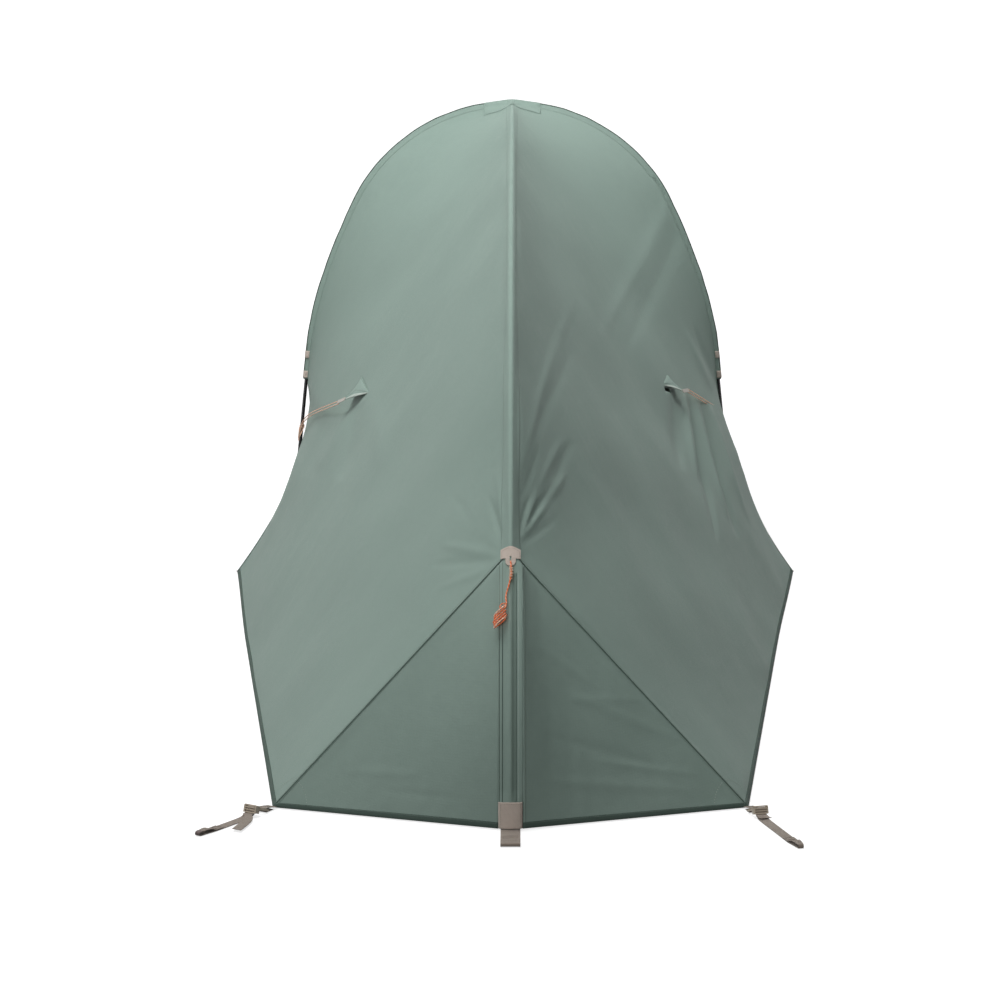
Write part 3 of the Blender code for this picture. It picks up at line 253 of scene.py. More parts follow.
def arch_axis():
    """The arch pole's axis from the crown to the right foot."""
    turn = np.linspace(0, CROWN_SWEEP, 65)
    drop = CROWN_R * (1 - np.cos(turn))
    crown = np.stack([CROWN_R * np.sin(turn), np.full(65, ARCH_Y), CROWN_Z - drop], axis=1)
    knee = np.array([KNEE[0], ARCH_Y, KNEE[1]])
    reach = np.linalg.norm(knee - crown[-1]) / 3
    leaving = np.array([math.cos(CROWN_SWEEP), 0.0, -math.sin(CROWN_SWEEP)])
    arriving = np.array([math.sin(KNEE_LEAN), 0.0, -math.cos(KNEE_LEAN)])
    shoulder = bezier(crown[-1], crown[-1] + reach * leaving, knee - reach * arriving, knee, 33)
    return even(np.concatenate([crown, shoulder[1:], [[FOOT_X, ARCH_Y, FOOT_Z]]]), 241)


def ridge_axis():
    """The ridge pole's axis from the rear foot to the crown."""
    turns = np.linspace(0, math.pi / 2, 161)
    return np.stack([0 * turns, ARCH_Y - RIDGE_RUN * np.cos(turns), CROWN_Z * np.sin(turns)], axis=1)


ARCH = arch_axis()
RIDGE = ridge_axis()


def arch_distance(z):
    """The distance along the arch from the crown to a height."""
    return float(np.interp(-z, -ARCH[:, 2], lengths(ARCH)))


def ridge_distance(z):
    """The distance along the ridge from the rear foot to a height."""
    return float(np.interp(z, RIDGE[:, 2], lengths(RIDGE)))


def on_ridge(z):
    """The point of the ridge axis at a height, and the unit vector square to it out of the tent."""
    spot = ridge_distance(z)
    before, here, after = at(RIDGE, [spot - 0.012, spot, spot + 0.012])
    slope = after - before
    return here, unit([0.0, -slope[2], slope[1]])


ARCH_END = arch_distance(SLEEVE_END_Z)
ARCH_TIP = at(ARCH, [ARCH_END])[0]


def seam_line(count):
    """The diagonal seam from the cap to the right rear corner."""
    top = on_ridge(CAP_Z)[0] + ACROSS * (SLEEVE_R + FIT)
    corner = np.array([*REAR_CORNER, GROUND_GAP])
    return top + (corner - top) * np.linspace(0, 1, count)[:, None]


def wing_edge():
    """The rear fly's free edge, from the arch sleeve's end to the right wing corner."""
    top = ARCH_TIP - [SLEEVE_INSET, SLEEVE_R + FIT, 0.0]
    corner = np.array([*WING_CORNER, GROUND_GAP])
    first = top - np.array([0.0, 0.012, WING_PULL_TOP])
    flare = np.array([-math.cos(WING_FLARE), 0.23, math.sin(WING_FLARE)])
    return bezier(top, first, corner + WING_PULL_LOW * flare, corner, 61)


def gore_edge():
    """The front gore's free edge, from the arch sleeve's end to the ground."""
    top = ARCH_TIP + [-SLEEVE_INSET, SLEEVE_R + FIT, 0.0]
    foot = np.array([*GORE_FOOT, GROUND_GAP])
    middle = np.array([top[0] - 0.012, (top[1] + foot[1]) / 2 - 0.02, (top[2] + foot[2]) / 2])
    return bezier(top, middle, middle, foot, 41)


def arch_line(y_offset, start):
    """The arch axis moved along Y, from a distance past the crown to the sleeve's end."""
    share = np.linspace(0, 1, 121)
    line = at(ARCH, start + (ARCH_END - start) * share)
    line[:, 0] -= share**6 * SLEEVE_INSET
    line[:, 1] += y_offset + math.copysign(0.0018, y_offset) * (1 - share)
    return line


def zip_line():
    """The right edge of the front door, from the crown to the front corner."""
    top = np.array([DOOR_TOP_HALF, ARCH_Y + DOOR_TOP_Y, CROWN_Z - DOOR_TOP_DROP])
    foot = np.array([PORCH_HALF_WIDTH, ARCH_Y + PORCH_DEPTH, GROUND_GAP])
    return np.array([top, foot])


def between(start, end, count):
    """Evenly spaced points of a straight line."""
    return np.linspace(0, 1, count)[:, None] * (end - start) + start


# ---- stretched cloth
def sample(grid, us, vs):
    """Smooth points of a grid at shares of its two directions."""
    for shares in (us, vs):
        grid = padded(grid)
        spot = np.clip(shares, 0, 1) * (len(grid) - 3)
        low = np.minimum(spot.astype(int), len(grid) - 4)
        grid = curve(*(grid[low + k] for k in range(4)), (spot - low)[:, None, None]).transpose(1, 0, 2)
    return grid


def stretched(edges, rows, columns):
    """A cloth surface pulled tight between four edges, found on ever finer grids."""
    grid = None
    for finer in (8, 4, 2, 1):
        first, last, low, high = edges(rows // finer + 1, columns // finer + 1)
        u = np.linspace(0, 1, len(low))[:, None, None]
        v = np.linspace(0, 1, len(first))[None, :, None]
        if grid is None:
            grid = (1 - u) * first[None] + u * last[None] + (1 - v) * low[:, None] + v * high[:, None]
            grid -= (1 - u) * (1 - v) * low[0] + u * (1 - v) * low[-1]
            grid -= (1 - u) * v * high[0] + u * v * high[-1]
        else:
            grid = sample(grid, u.ravel(), v.ravel())
            grid[0], grid[-1], grid[:, 0], grid[:, -1] = first, last, low, high
        for _ in range(150 + 30 * finer):
            around = grid[2:, 1:-1] + grid[:-2, 1:-1] + grid[1:-1, 2:] + grid[1:-1, :-2]
            grid[1:-1, 1:-1] = around / 4
    return grid


def side_edges(rows, columns):
    """The right side panel between seam, arch, ridge and hem."""
    edge = SLEEVE_R + FIT
    stop = lengths(RIDGE)[-1] - RIDGE_STOP
    low = at(RIDGE, np.linspace(ridge_distance(CAP_Z), stop, rows)) + ACROSS * edge
    outer = np.concatenate([arch_line(-edge, edge), wing_edge()[1:]])
    outer[0] = low[-1]
    last = even(outer, columns)
    first = seam_line(columns)
    return first, last, low, between(first[-1], last[-1], rows)


def rear_edges(rows, columns):
    """The right rear triangle between band, seam, cap and hem."""
    seam = seam_line(SEAM_CELLS + 1)
    along = unit(seam[-1] - seam[0])
    inward = RIDGE[0] - seam[0]
    inward = unit(inward - along * (inward @ along))
    seam = seam + inward * SEAM_GAP
    seam[-1, 2] = GROUND_GAP
    spots = np.linspace(ridge_distance(CAP_Z - REAR_TOP_DROP), ridge_distance(GROUND_GAP), columns)
    first = at(RIDGE, spots) + ACROSS * (BAND_HALF_WIDTH + FIT)
    last = even(seam[SEAM_SKIP:], columns)
    return first, last, between(first[0], last[0], rows), between(first[-1], last[-1], rows)


def gore_edges(rows, columns):
    """The right front gore between door, arch, crown and ground."""
    door = zip_line() + ACROSS * SEAM_GAP
    first = at(door, np.linspace(DOOR_START, lengths(door)[-1], columns))
    last = even(np.concatenate([arch_line(SLEEVE_R + FIT, DOOR_START), gore_edge()[1:]]), columns)
    return first, last, between(first[0], last[0], rows), between(first[-1], last[-1], rows)


def door_edges(rows, columns):
    """The front door between its two slanting edges."""
    spots = np.linspace(DOOR_START, lengths(zip_line())[-1], columns)
    last = at(zip_line(), spots)
    first = mirrored(last, -1)
    return first, last, between(first[0], last[0], rows), between(first[-1], last[-1], rows)


INSIDE = np.array([0.0, 0.2, 0.25])


def normals(grid):
    """The unit normals of a grid, out of the tent."""
    made = units(np.cross(np.gradient(grid, axis=0), np.gradient(grid, axis=1)))
    return made * np.sign(((grid - INSIDE) * made).sum(axis=2, keepdims=True))


def distances(grid):
    """For each point of a grid, its distance along the cloth from the four edges: first, last, low, high."""
    down, across = (np.linalg.norm(np.diff(grid, axis=k), axis=2) for k in (0, 1))
    down = np.concatenate([np.zeros((1, grid.shape[1])), np.cumsum(down, axis=0)])
    across = np.concatenate([np.zeros((grid.shape[0], 1)), np.cumsum(across, axis=1)], axis=1)
    return down, down[-1:] - down, across, across[:, -1:] - across


def fade(distance, width):
    """0 at an edge, rising smoothly to 1 at a distance from it."""
    share = np.clip(distance / width, 0, 1)
    return share * share * (3 - 2 * share)


WAVE_COUNT = 7


def waves(a, b, length, heading, spread, height, seed):
    """Soft undulation over two distances: waves of about one length, whose crests run along a heading."""
    draw = np.random.default_rng(seed)
    total = np.zeros_like(a)
    for _ in range(WAVE_COUNT):
        angle = heading + spread * draw.normal()
        pitch = length * draw.uniform(0.7, 1.5)
        phase = draw.uniform(0, 2 * math.pi)
        total += np.cos(2 * math.pi / pitch * (b * math.cos(angle) - a * math.sin(angle)) + phase)
    return total * height / WAVE_COUNT**0.5


def fold(x, y, x0, y0, x1, y1, width, height, skew=0.0):
    """One fold as the picture shows it: a crest between two picture points, widest in its middle."""
    run = np.array([x1 - x0, y1 - y0])
    span = np.linalg.norm(run)
    run = run / span
    along = ((x - x0) * run[0] + (y - y0) * run[1]) / span
    aside = (x - x0) * -run[1] + (y - y0) * run[0]
    taper = np.clip(np.sin(math.pi * np.clip(along, 0, 1)), 0, 1) ** 0.7
    share = aside / (width * (0.45 + 0.55 * taper))
    return height * taper * (np.exp(-(share**2)) + skew * share * np.exp(-(share**2)))


def folded(grid, folds, undulation, side, keep=0.03):
    """The grid with its folds and undulation, which die out at its edges."""
    first, last, low, high = distances(grid)
    x, y = picture(grid)
    lift = np.zeros(grid.shape[:2])
    for entry in folds:
        lift += fold(x, y, *entry)
    for number, entry in enumerate(undulation):
        lift += waves(first, low, *entry, seed=11 * number + (3 if side > 0 else 5))
    lift *= fade(first, keep) * fade(last, keep) * fade(low, keep) * fade(high, keep)
    return grid + normals(grid) * lift[..., None]


def strip(grid, edge, away, lift):
    """Lines of a grid at distances from one of its edges, raised off the cloth."""
    turned = {
        "low": grid,
        "high": grid[:, ::-1],
        "first": grid.transpose(1, 0, 2),
        "last": grid[::-1].transpose(1, 0, 2),
    }[edge]
    up = normals(turned)
    lift = np.broadcast_to(lift, (len(away),))
    made = []
    for line, out in zip(turned, up):
        ways = np.stack([np.interp(away, lengths(line), part) for part in out.T], axis=1)
        made.append(at(line, away) + units(ways) * lift[:, None])
    return np.array(made)


# ---- meshes
def new_object(name, mesh, surface, body="tent"):
    """An object with one material that rides on a body."""
    mesh.materials.append(surface)
    made = added(name, mesh)
    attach(made, body)
    return made


def modify(piece, name, kind, **values):
    """Puts a modifier on a piece."""
    with_values(piece.modifiers.new(name, kind), **values)


def bevel(piece, width):
    """Rounds a piece's sharp edges."""
    modify(piece, "Edges", "BEVEL", width=width, segments=2, limit_method="ANGLE")


def quads(grid):
    """The four corners of each cell of a grid, round the cell."""
    return np.stack([grid[:-1, :-1], grid[1:, :-1], grid[1:, 1:], grid[:-1, 1:]], axis=2)


WING_START_Y = 0.25
WING_FADE = 0.8
WING_HEIGHTS = (0.0, 0.05, 0.10, 0.19, 0.24, 0.29, 0.335, 0.40, 0.445)
WING_SWAY = {
    -1: (0.007, 0.008, 0.009, 0.012, 0.009, 0.005, 0.008, 0.009, 0.0),
    1: (0.007, 0.006, 0.007, 0.013, 0.017, 0.018, 0.012, 0.004, 0.0),
}


def swayed(grid, side):
    """A panel with its wing drawn a little to the right, as the tent is pitched in the photograph."""
    push = np.interp(grid[..., 2], WING_HEIGHTS, WING_SWAY[side])
    push *= fade(grid[..., 1] - WING_START_Y, WING_FADE)
    return grid + push[..., None] * ACROSS


def cloth(
    name, grid, surface, thickness=FLY, closed=False, body="tent", offset=0.0, left_out=(), capped=False
):
    """A sheet through a grid of points, with its lengths in metres as its map for the weave."""
    grid = np.asarray(grid, float)
    mesh = bpy.data.meshes.new(name)
    index = np.arange(grid[..., 0].size).reshape(grid.shape[:2])
    wide = grid
    if closed:
        index, wide = (np.concatenate([part, part[:, :1]], axis=1) for part in (index, grid))
    faces = quads(index)
    kept = np.ones(faces.shape[:2], bool)
    for cell in left_out:
        kept[cell] = False
    middle = [index[0, :-1].tolist()] if capped else []
    mesh.from_pydata(grid.reshape(-1, 3).tolist(), [], faces[kept].tolist() + middle)
    first, _, low, _ = distances(wide)
    uv = np.stack([low - low[:, low.shape[1] // 2, None], first], axis=2)
    corner = quads(uv)[kept].reshape(-1)
    if capped:
        corner = np.concatenate([corner, uv[0, :-1].reshape(-1)])
    mesh.uv_layers.new(name="cloth").data.foreach_set("uv", corner.astype(np.float32))
    mesh.shade_smooth()
    made = new_object(name, mesh, surface, body)
    if thickness:
        modify(made, "Thickness", "SOLIDIFY", thickness=thickness, offset=offset)
    return made


def tube(name, line, radius, surface, sides=12, body="tent", ends=True):
    """A round rod along a line, with one radius or one for each point."""
    line = np.asarray(line, float)
    radius = np.broadcast_to(radius, (len(line),))
    tangent = units(np.gradient(line, axis=0))
    across = np.cross(tangent[0], OFF_AXIS)
    turn = np.arange(sides)[:, None] * 2 * math.pi / sides
    rings = []
    for point, way, r in zip(line, tangent, radius):
        across = unit(across - way * (across @ way))
        rings.append(point + r * (np.cos(turn) * across + np.sin(turn) * np.cross(way, across)))
    made = cloth(name, rings, surface, thickness=0, closed=True, body=body)
    if ends:
        shape = bmesh.new()
        shape.from_mesh(made.data)
        bmesh.ops.holes_fill(shape, edges=shape.edges, sides=sides)
        bmesh.ops.recalc_face_normals(shape, faces=shape.faces)
        shape.to_mesh(made.data)
        shape.free()
    return made


STITCH_SIDES = 6
STITCH_PROFILE = ((-0.5, 0.35), (-0.3, 1.0), (0.3, 1.0), (0.5, 0.35))


def stitch_faces(base):
    """The faces of one stitch, whose points start at a number: its sides ring by ring, then its two ends."""
    rings = base + np.arange(STITCH_SIDES * len(STITCH_PROFILE)).reshape(-1, STITCH_SIDES)
    faces = quads(np.concatenate([rings, rings[:, :1]], axis=1)).reshape(-1, 4)[:, [0, 3, 2, 1]].tolist()
    return [*faces, rings[0][::-1].tolist(), rings[-1].tolist()]


def stitches(name, rows, surface, pitch=0.0032, length=0.0021, radius=0.00028, body="tent"):
    """Rows of separate stitches, each a small rounded stroke of thread on a line."""
    points, faces = [], []
    ring = np.arange(STITCH_SIDES)[:, None] * 2 * math.pi / STITCH_SIDES
    for line in rows:
        spots = np.arange(pitch, lengths(line)[-1] - pitch, pitch)
        here = at(line, spots)
        way = units(at(line, spots + 0.0004) - here)
        one = units(np.cross(way, OFF_LINE))
        two = np.cross(way, one)
        for c, w, a, b in zip(here, way, one, two):
            faces += stitch_faces(len(points))
            aside = np.cos(ring) * a + np.sin(ring) * b
            for share, size in STITCH_PROFILE:
                points += (c + w * share * length + aside * radius * size).tolist()
    mesh = bpy.data.meshes.new(name)
    mesh.from_pydata(points, [], faces)
    mesh.shade_smooth()
    return new_object(name, mesh, surface, body)


# ---- materials
# the distance between ridges of a wave texture at scale 1, in metres
WAVE_PITCH = 0.31416


def scaled(colour, factor):
    """A colour made darker or lighter."""
    return tuple(factor * c for c in colour)


class Nodes:
    """The nodes of a material or of the world, added one after another."""

    def __init__(self, owner):
        owner.use_nodes = True
        self.owner, self.tree = owner, owner.node_tree

    def set(self, node, inputs):
        """Sets a node's sockets, by name or number, to constants or links."""
        for key, value in dict(inputs).items():
            if isinstance(value, bpy.types.NodeSocket):
                self.tree.links.new(value, node.inputs[key])
            else:
                node.inputs[key].default_value = value

    def add(self, kind, inputs=(), **values):
        """A node with its settings and sockets."""
        node = with_values(self.tree.nodes.new(kind), **values)
        self.set(node, inputs)
        return node

    def maps(self):
        """The cloth's map in metres, and the place in the object's own coordinates."""
        outputs = self.add("ShaderNodeTexCoord").outputs
        return outputs["UV"], outputs["Object"]

    def math(self, operation, a, b=0.0):
        """The result of one sum."""
        return self.add("ShaderNodeMath", {0: a, 1: b}, operation=operation).outputs[0]

    def noise(self, where, scale, detail=3.0, rough=0.5):
        """Noise between 0 and 1."""
        inputs = {"Vector": where, "Scale": scale, "Detail": detail, "Roughness": rough}
        return self.add("ShaderNodeTexNoise", inputs).outputs["Fac"]

    def wave(self, where, pitch, direction):
        """Even ridges of one pitch in metres across a direction."""
        inputs = {"Vector": where, "Scale": WAVE_PITCH / pitch, "Distortion": 0.0}
        return self.add("ShaderNodeTexWave", inputs, bands_direction=direction).outputs["Fac"]

    def mix(self, share, *ends):
        """A colour between two."""
        one, two = (end if isinstance(end, bpy.types.NodeSocket) else (*end, 1.0) for end in ends)
        return self.add("ShaderNodeMix", {"Factor": share, 6: one, 7: two}, data_type="RGBA").outputs[2]

    def span(self, value, low, high, to_low=0.0, to_high=1.0):
        """A value moved from one range to another."""
        inputs = {"Value": value, "From Min": low, "From Max": high, "To Min": to_low, "To Max": to_high}
        return self.add("ShaderNodeMapRange", inputs).outputs["Result"]

    def bump(self, height, distance, strength=1.0, **normal):
        """A normal bent by a height map."""
        inputs = {"Height": height, "Distance": distance, "Strength": strength, **normal}
        return self.add("ShaderNodeBump", inputs).outputs["Normal"]

    def finish(self, slot, colour, rough, normal, **constants):
        """Links the shader, sets its constant sockets and gives back the material; the slot is not used."""
        shader = self.tree.nodes["Principled BSDF"]
        self.set(shader, {"Base Color": colour, "Roughness": rough, "Normal": normal})
        self.set(shader, {name.replace("_", " "): value for name, value in constants.items()})
        return self.owner


WEAVE = 0.0007
WEAVE_SQUARE = 0.0055
STRAND = 0.0011


def fly_cloth(name, slot, colour, shade, coating=0.5):
    """Coated woven cloth: fine threads, stronger threads in small squares, faint creases from packing."""
    n = Nodes(bpy.data.materials.new(name))
    uv, where = n.maps()
    mottle = n.noise(where, 2.6, 5.0, 0.55)
    cloud = n.noise(where, 38.0, 4.0, 0.6)
    threads = n.math("MULTIPLY", n.wave(uv, WEAVE, "X"), n.wave(uv, WEAVE, "Y"))
    strong = n.math("MAXIMUM", n.wave(uv, WEAVE_SQUARE, "X"), n.wave(uv, WEAVE_SQUARE, "Y"))
    strong = n.span(strong, 0.94, 1.0)
    tone = n.mix(n.span(mottle, 0.3, 0.7), colour, shade)
    tone = n.mix(n.span(cloud, 0.3, 0.75, 0.0, 0.16), tone, scaled(colour, 1.25))
    tone = n.mix(n.math("MULTIPLY", threads, 0.10), tone, scaled(colour, 0.6))
    tone = n.mix(n.math("MULTIPLY", strong, 0.10), tone, scaled(colour, 0.7))
    rough = n.span(cloud, 0.25, 0.75, coating - 0.07, coating + 0.08)
    stretch = n.add("ShaderNodeMapping", {"Vector": where, "Scale": (1.0, 0.35, 1.0)}).outputs[0]
    crease = n.math("SUBTRACT", n.noise(stretch, 26.0, 6.0, 0.62), 0.5)
    normal = n.bump(n.math("ABSOLUTE", crease), 0.0035, 0.30)
    normal = n.bump(n.math("ADD", threads, strong), 0.00010, 0.6, Normal=normal)
    constants = {"Specular_IOR_Level": 0.03, "Sheen_Weight": 0.02, "Sheen_Roughness": 0.45}
    return n.finish(slot, tone, rough, normal, **constants)


def webbing(name, slot, colour, shade, rib=0.0014):
    """Woven tape: ribs across it, a herringbone of threads and fuzzed edges."""
    n = Nodes(bpy.data.materials.new(name))
    uv, where = n.maps()
    thread = n.math("MULTIPLY", n.wave(uv, rib, "Y"), n.wave(uv, STRAND, "DIAGONAL"))
    wear = n.noise(where, 60.0, 5.0, 0.65)
    tone = n.mix(n.span(wear, 0.3, 0.7), colour, shade)
    tone = n.mix(n.math("MULTIPLY", thread, 0.35), tone, scaled(colour, 0.5))
    normal = n.bump(wear, 0.0006, 0.4, Normal=n.bump(thread, 0.00035, 0.8))
    rough = n.span(wear, 0.3, 0.7, 0.72, 0.9)
    return n.finish(slot, tone, rough, normal, Specular_IOR_Level=0.25, Sheen_Weight=0.25)


def braid(name, slot, colour, fleck):
    """Braided cord: slanting strands in two directions, with a pale marker strand; painted shade darkens the
    grooves between the strands, and a faint painted glow brightens the whole cord.
    """
    n = Nodes(bpy.data.materials.new(name))
    uv, where = n.maps()
    turned = ({"Vector": uv, "Rotation": (0, 0, turn)} for turn in (0.7, -0.7))
    left, right = (n.add("ShaderNodeMapping", inputs).outputs[0] for inputs in turned)
    strands = n.math("MAXIMUM", n.wave(left, STRAND, "Y"), n.wave(right, STRAND, "Y"))
    marker = n.span(n.wave(left, 0.0062, "Y"), 0.80, 0.94)
    # painted shade: the grooves between the strands are darkened to 0.45 of the colour
    tone = n.mix(n.span(strands, 0.4, 1.0), scaled(colour, 0.45), colour)
    tone = n.mix(n.math("MULTIPLY", marker, 0.85), tone, fleck)
    rough = n.span(n.noise(where, 300.0), 0.3, 0.7, 0.6, 0.8)
    # painted light: the cord glows faintly in its own colour, though it is no lamp, so that it looks brighter
    constants = {"Emission_Color": (*colour, 1.0), "Emission_Strength": 0.16}
    constants.update(Specular_IOR_Level=0.3, Sheen_Weight=0.15)
    return n.finish(slot, tone, rough, n.bump(strands, 0.00035, 0.9), **constants)


def moulded(name, slot, colour, rough_low=0.6, rough_high=0.8, metallic=0.0, grain=700.0):
    """Moulded plastic, coated metal or thread: a fine grain, rubbed patches and uneven gloss."""
    n = Nodes(bpy.data.materials.new(name))
    _, where = n.maps()
    fine = n.noise(where, grain, 4.0, 0.6)
    rubbed = n.noise(where, 45.0, 5.0, 0.7)
    tone = n.mix(n.span(rubbed, 0.45, 0.75, 0.0, 0.6), colour, tuple(min(1, 1.5 * c + 0.01) for c in colour))
    tone = n.mix(n.span(fine, 0.3, 0.7, 0.0, 0.2), tone, scaled(colour, 0.7))
    rough = n.span(rubbed, 0.3, 0.7, rough_low, rough_high)
    return n.finish(slot, tone, rough, n.bump(fine, 0.00012, 0.5), Metallic=metallic)


def mesh_cloth(name, slot, colour, shade):
    """Fine inner-tent cloth: an open weave with a soft matt face."""
    n = Nodes(bpy.data.materials.new(name))
    uv, where = n.maps()
    holes = n.math("MULTIPLY", n.wave(uv, 0.0012, "X"), n.wave(uv, 0.0012, "Y"))
    mottle = n.noise(where, 5.0, 4.0)
    tone = n.mix(n.span(mottle, 0.3, 0.7), colour, shade)
    tone = n.mix(n.math("MULTIPLY", holes, 0.3), tone, scaled(colour, 0.45))
    normal = n.bump(n.noise(where, 30.0, 5.0), 0.003, 0.35, Normal=n.bump(holes, 0.0002, 0.7))
    rough = n.span(mottle, 0.3, 0.7, 0.75, 0.9)
    return n.finish(slot, tone, rough, normal, Specular_IOR_Level=0.2, Sheen_Weight=0.3)


SAGE = fly_cloth("sage_fly", "fly_cloth", (0.252, 0.333, 0.294), (0.233, 0.312, 0.275))
# a darker copy of the fly cloth: painted shade inside the pole sleeves, and the zip tape
SAGE_DARK = fly_cloth("sage_band", "sleeve_cloth", (0.150, 0.200, 0.174), (0.132, 0.178, 0.154), 0.6)
HEM = fly_cloth("dark_hem", "sleeve_cloth", (0.088, 0.124, 0.106), (0.072, 0.104, 0.089), 0.65)
TAUPE = webbing("taupe_tape", "taupe_webbing", (0.300, 0.250, 0.208), (0.255, 0.210, 0.175))
TAUPE_CLOTH = webbing("taupe_patch", "taupe_webbing", (0.600, 0.515, 0.450), (0.560, 0.480, 0.415), 0.0009)
DARK_TAPE = webbing("dark_tape", "taupe_webbing", (0.075, 0.052, 0.050), (0.055, 0.040, 0.040))
MAUVE_TAPE = webbing("mauve_tape", "taupe_webbing", (0.185, 0.140, 0.135), (0.150, 0.112, 0.108))
# a darker copy of the fly cloth, painted as the shade on the right side of the pole's bulge in the rear band
BAND_SHADE = fly_cloth("band_shade_cloth", "sleeve_cloth", (0.185, 0.250, 0.217), (0.168, 0.228, 0.198), 0.6)
ORANGE = braid("orange_braid", "orange_cord", (0.93, 0.170, 0.030), (0.90, 0.66, 0.50))
THREAD = moulded("thread", "sleeve_cloth", (0.115, 0.150, 0.130), grain=2000.0)
PALE_THREAD = moulded("pale_thread", "sleeve_cloth", (0.42, 0.48, 0.44), grain=2000.0)
PALE_CORD = braid("pale_braid", "orange_cord", (0.85, 0.50, 0.34), (0.93, 0.80, 0.68))
# a lighter copy of the fly cloth, painted as the highlight on the vent hoods' turned lower lip
HOOD_LIP_HIGHLIGHT = fly_cloth("hood_lip_highlight", "fly_cloth", (0.44, 0.50, 0.455), (0.40, 0.465, 0.42), 0.6)
PALE_TAPE = webbing("pale_tape", "taupe_webbing", (0.56, 0.52, 0.47), (0.50, 0.46, 0.41), 0.0009)
TAUPE_THREAD = moulded("taupe_thread", "taupe_webbing", (0.20, 0.165, 0.14), grain=2000.0)
POLE = moulded("anodised_pole", "pole_metal", (0.018, 0.018, 0.019), 0.28, 0.42, metallic=0.6)
PLASTIC = moulded("black_moulding", "black_plastic", (0.025, 0.025, 0.026), 0.35, 0.5)
BUCKLE = moulded("taupe_moulding", "taupe_plastic", (0.43, 0.365, 0.28), 0.4, 0.55)
METAL = moulded("zip_metal", "slider_metal", (0.30, 0.30, 0.30), 0.25, 0.42, metallic=1.0)
INNER = mesh_cloth("pale_inner", "inner_cloth", (0.55, 0.56, 0.53), (0.49, 0.50, 0.475))
FLOOR_CLOTH = fly_cloth("floor_sheet", "floor_cloth", (0.10, 0.12, 0.12), (0.08, 0.10, 0.10), 0.45)


# ---- light and ground
def lamp(name, kind, energy, place, aim, **values):
    """A lamp that points at a place."""
    data = with_values(bpy.data.lights.new(name, kind), energy=energy, **values)
    turn = (Vector(aim) - Vector(place)).to_track_quat("-Z", "Y").to_euler()
    added(name, data, location=place, rotation_euler=turn)


def make_stage():
    """A pale floor that keeps the tent's shadow, a white backdrop, and soft light from above on the left."""
    world = bpy.data.worlds.new("world")
    bpy.context.scene.world = world
    n = Nodes(world)
    rays = n.add("ShaderNodeLightPath").outputs
    seen = n.math("MAXIMUM", rays["Is Camera Ray"], rays["Is Glossy Ray"])
    seen = n.math("MAXIMUM", seen, rays["Is Transmission Ray"])
    backdrop = {"Color": (1, 1, 1, 1), "Strength": n.span(seen, 0.0, 1.0, 0.10, 1.0)}
    n.set(n.tree.nodes["Background"], backdrop)

    n = Nodes(bpy.data.materials.new("ground"))
    n.tree.nodes.remove(n.tree.nodes["Principled BSDF"])
    rays = n.add("ShaderNodeLightPath").outputs
    greys = ({"Color": (tone, tone, tone, 1)} for tone in (0.13, 0.5))
    plain, lit = (n.add("ShaderNodeBsdfDiffuse", inputs).outputs[0] for inputs in greys)
    away = n.add("ShaderNodeVectorMath", {0: n.maps()[1]}, operation="LENGTH").outputs["Value"]
    glow = n.add("ShaderNodeEmission", {"Strength": n.span(away, 1.8, 4.0, 0.74, 1.05)}).outputs[0]
    both = n.add("ShaderNodeAddShader", {0: lit, 1: glow}).outputs[0]
    seen = n.math("MAXIMUM", rays["Is Camera Ray"], rays["Is Glossy Ray"])
    choice = n.add("ShaderNodeMixShader", {0: seen, 1: plain, 2: both}).outputs[0]
    n.set(n.tree.nodes["Material Output"], {"Surface": choice})
    mesh = bpy.data.meshes.new("floor")
    far = 90.0
    mesh.from_pydata([(far * x, far * y, 0) for x, y in CORNERS], [], [(0, 1, 2, 3)])
    mesh.materials.append(n.owner)
    floor = added("floor", mesh, location=(0, 0, -0.0006))
    lamp("key", "AREA", 136.0, (-0.7, -0.3, 4.3), (0, 0, 0.4), shape="DISK", size=2.6)
    lamp("fill", "SUN", 1.02, (-3.4, -8.0, 3.0), (0, 0, 0), angle=math.radians(40))
    lamp("right", "AREA", 6.8, (1.1, 1.25, 1.8), (0.22, 0.65, 0.75), shape="DISK", size=0.8)
    lamp("left", "AREA", 3.4, (-1.1, 1.1, 1.7), (-0.22, 0.45, 0.70), shape="DISK", size=0.8)


# ---- the guyline and its hank
def oval_depth(x, half):
    """The depth of an oval band's face at a distance from its middle."""
    return BAND_HALF_DEPTH * math.sqrt(1 - min(abs(x) / half, 0.999) ** 2)


def band_surface(z, x, lift):
    """A point above the rear band's outer face, at a height and a distance x from the middle."""
    centre, outward = on_ridge(z)
    return centre + ACROSS * x + outward * (oval_depth(x, BAND_HALF_WIDTH) + lift)


HANK_LOOPS = 5
HANK_STEPS = 24
HANK_PITCH = 0.0042
HANK_LENGTH = 0.034
HANK_DEPTH = 0.0090
HANK_TILT = math.radians(46)
HANK_CENTRE = (-0.0195, 0.362)
GUY_ROUTE = ((0.0, 0.4505), (0.0010, 0.441), (0.0012, 0.429), (-0.0035, 0.412), (-0.0085, 0.396))


